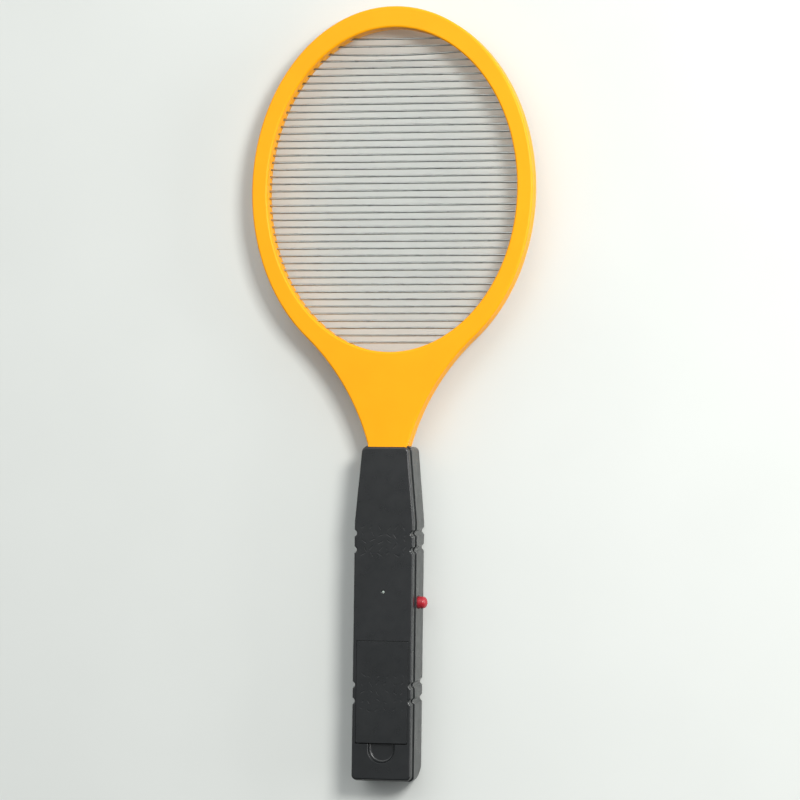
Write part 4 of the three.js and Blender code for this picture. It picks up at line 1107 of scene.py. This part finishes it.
def all_screws():
    """The screws of the head, the handle and the circuit board."""
    for i, (x, y, z) in enumerate(head_screws):
        screw(f"head_screw_{i + 1}", x, y, z, HEAD_SCREW)
    for i, (x, y, z) in enumerate(handle_screws):
        screw(f"handle_screw_{i + 1}", x, y, z, HANDLE_SCREW)
    for i in range(2):
        low, high = limits(f"board_screw_{i + 1}")
        x, y = (low.x + high.x) / 2, (low.y + high.y) / 2
        screw(f"board_screw_{i + 1}", x, y, high.z, BOARD_SCREW, facing=-1)


# -------- cells and contacts


def cell(node, side, low, high):
    """An AA cell: crimped ends, a plain jacket and a raised contact, which points up on side -1."""
    nub = CELL_NUB_RADIUS
    can = CELL_RADIUS
    whole = high.y - low.y
    profile = [
        (AXIS_RADIUS, 0.25),
        (can - 1.6, 0.25),
        (can - 1.3, 0),
        (can - 0.5, 0),
        (can, 0.5),
        (can, CELL_LENGTH - 0.9),
        (can - 0.25, CELL_LENGTH - 0.3),
        (can - 0.9, CELL_LENGTH),
        (can - 1.5, CELL_LENGTH - 0.05),
        (can - 1.8, CELL_LENGTH - 0.5),
        (nub + 0.3, CELL_LENGTH - 0.5),
        (nub, CELL_LENGTH - 0.3),
        (nub, whole - 0.25),
        (nub - 0.25, whole),
        (AXIS_RADIUS, whole),
    ]
    if side < 0:
        profile = [(radius, low.y + height) for radius, height in profile]
    else:
        profile = [(radius, high.y - height) for radius, height in reversed(profile)]
    body = turned(profile, 64, "y", (side * cell_x, 0, cell_z))
    show(body, node, cell_jacket)
    body.data.materials.append(cell_metal)
    jacket_lip = can - 0.7
    end_depth = 1
    for face in body.data.polygons:
        centre = face.center / MM
        reach = math.hypot(centre.x - side * cell_x, centre.z - cell_z)
        from_end = centre.y - low.y if side < 0 else high.y - centre.y
        at_an_end = from_end < end_depth or from_end > CELL_LENGTH - end_depth
        if at_an_end and reach < jacket_lip:
            face.material_index = 1


def coil_path(x, face_y, direction):
    """The line of a battery spring, whose turns narrow towards the cell."""
    steps = 20 * SPRING_TURNS
    points = []
    for i in range(steps + 1):
        share = i / steps
        angle = share * SPRING_TURNS * FULL_TURN
        radius = SPRING_RADIUS * (1 - SPRING_TAPER * share)
        y = face_y + direction * SPRING_REACH * share
        points.append((x + radius * math.cos(angle), y, cell_z + radius * math.sin(angle)))
    return points


def contact(node, x0, x1, y0, tab_x=None, coil=None):
    """A spring-steel plate against a bulkhead, with a solder tab or a coil spring."""
    y1 = y0 + CONTACT_THICKNESS
    z0, z1 = plate_bottom_z, plate_top_z
    plate = rounded_rectangle((x1 - x0) / 2, (z1 - z0) / 2, CONTACT_CORNER)
    middle_x, middle_z = (x0 + x1) / 2, (z0 + z1) / 2
    body = solid_through([[(middle_x + x, y, middle_z + z) for x, z in plate] for y in (y1, y0)])
    if tab_x is not None:
        tab_top = bulkhead_top_z + SOLDER_TAB_RISE
        body = join(body, block(tab_x - SOLDER_TAB_HALF, tab_x + SOLDER_TAB_HALF, y0, y1, cell_z, tab_top))
    if coil is not None:
        body = join(body, solid_through(tube_rings(coil, SPRING_WIRE_RADIUS, 10)))
    show(body, node, spring_steel)


def all_contacts():
    """The link between the two cells at the lower end, and the two contacts with leads at the upper end."""
    link_y = link_low.y
    link_coil = coil_path(-cell_x, link_y + CONTACT_THICKNESS, 1)
    contact("battery_link_contact", link_low.x, link_high.x, link_y, coil=link_coil)
    plate_y = positive_high.y - CONTACT_THICKNESS
    contact("battery_positive_contact", positive_low.x, positive_high.x, plate_y, -SOLDER_TAB_X)
    coil = coil_path(cell_x, plate_y, -1)
    contact("battery_negative_contact", negative_low.x, negative_high.x, plate_y, SOLDER_TAB_X, coil)


# -------- inner parts that keep their CAD shape


def dress(node, material):
    """Softens the edges of a CAD piece and gives it its finish."""
    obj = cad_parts[node]
    obj.data.materials.clear()
    obj.data.materials.append(material)
    bevel = obj.modifiers.new("soft_edges", "BEVEL")
    bevel.width = SOFT_EDGE * MM
    bevel.segments = 2
    bevel.limit_method = "ANGLE"
    bevel.angle_limit = SOFT_EDGE_ANGLE


def inner_parts():
    """The leads, the lamp, the switch and the circuit board with its components."""
    finishes = {
        "grid_lead_left": red_lead,
        "grid_lead_right": black_lead,
        "battery_lead_positive": red_lead,
        "battery_lead_negative": black_lead,
        "circuit_board": board_resin,
        "switch_body": dark_resin,
        "switch_plunger": nylon,
        "indicator_led": lens,
        "transformer_core": ferrite,
        "transformer_bobbin": nylon,
        "transformer_winding": winding_tape,
        "storage_capacitor": capacitor_epoxy,
        "multiplier_capacitor_1": ceramic_blue,
        "multiplier_capacitor_2": ceramic_blue,
        "diode_1": dark_resin,
        "diode_2": dark_resin,
        "diode_3": dark_resin,
        "bias_resistor": resistor_coat,
        "led_resistor": resistor_coat,
        "discharge_resistor": resistor_coat,
        "transistor": dark_resin,
    }
    for node, material in finishes.items():
        dress(node, material)


# -------- floor, light, camera

FLOOR_HALF = 6000
FLOOR_CORNER = 200
FLOOR_THICKNESS = 20
FLOOR_GAP = 0.1
WARM = (1, 0.985, 0.96)
WHITE = (1, 1, 1)
SKY = (0.95, 0.98, 1, 1)


def floor():
    """A plain pale floor just under the swatter, wide enough to reach the horizon."""
    outline = rounded_rectangle(FLOOR_HALF, FLOOR_HALF, FLOOR_CORNER, 8)
    plate = solid_through([raised(outline, z) for z in (-FLOOR_THICKNESS, -FLOOR_GAP)], "floor")
    material, tree, shader, place = new_material("floor_paper", 0.75)
    stops = [(0.3, (0.665, 0.69, 0.665)), (0.7, (0.685, 0.71, 0.685))]
    ramp(tree, noise(tree, place, scale=9), stops, shader.inputs["Base Color"])
    plate.data.materials.append(material)


def area_light(name, place, size, power, colour):
    """A rectangular light, in metres and watts, that faces the swatter."""
    light = bpy.data.lights.new(name, "AREA")
    light.shape = "RECTANGLE"
    light.size = size[0]
    light.size_y = size[1]
    light.energy = power
    light.color = colour
    lamp = bpy.data.objects.new(name, light)
    lamp.location = place
    lamp.rotation_euler = (Vector((0, 0, 0)) - Vector(place)).to_track_quat("-Z", "Y").to_euler()
    bpy.context.scene.collection.objects.link(lamp)


def lighting():
    """Three soft lights, and a room that is brighter beyond the head than behind the butt."""
    area_light("key", (0.75, 0.40, 1.15), (0.36, 0.40), 15.5, WARM)
    area_light("fill", (-0.33, 0.62, 1.20), (1.2, 0.8), 3.6, WARM)
    area_light("side", (1.30, 0.16, 0.34), (1.2, 0.4), 7.6, WHITE)
    world = bpy.data.worlds.new("studio")
    world.use_nodes = True
    tree = world.node_tree
    background = tree.nodes["Background"]
    background.inputs["Color"].default_value = SKY
    split = tree.nodes.new("ShaderNodeSeparateXYZ")
    tree.links.new(tree.nodes.new("ShaderNodeTexCoord").outputs["Generated"], split.inputs["Vector"])
    strength = background.inputs["Strength"]
    spread(tree, split.outputs["Y"], low=0.04, high=0.95, target=strength, from_low=-0.35, from_high=0.50)
    bpy.context.scene.world = world
    bpy.context.scene.view_settings.view_transform = "Standard"


def camera():
    """Above the swatter and to its right, turned back to it, and leaning a little."""
    data = bpy.data.cameras.new("camera")
    data.lens = 165.3
    data.sensor_width = 36
    viewer = bpy.data.objects.new("camera", data)
    viewer.location = (0.4824, -0.0824, 2.0)
    yaw, pitch, roll = (math.radians(d) for d in (13.50, 2.19, 0.75))
    turn = Euler((0, yaw, 0)).to_matrix() @ Euler((pitch, 0, 0)).to_matrix() @ Euler((0, 0, roll)).to_matrix()
    viewer.rotation_euler = turn.to_euler()
    bpy.context.scene.collection.objects.link(viewer)
    bpy.context.scene.camera = viewer


head_front()
head_rear()
grid_comb("grid_comb_left", -1, 0)
grid_comb("grid_comb_right", 1, 1)
handle_front()
handle_rear()
battery_cover()
push_button()
all_screws()
cell("battery_1", -1, cell_1_low, cell_1_high)
cell("battery_2", 1, cell_2_low, cell_2_high)
all_contacts()
inner_parts()
floor()
lighting()
camera()
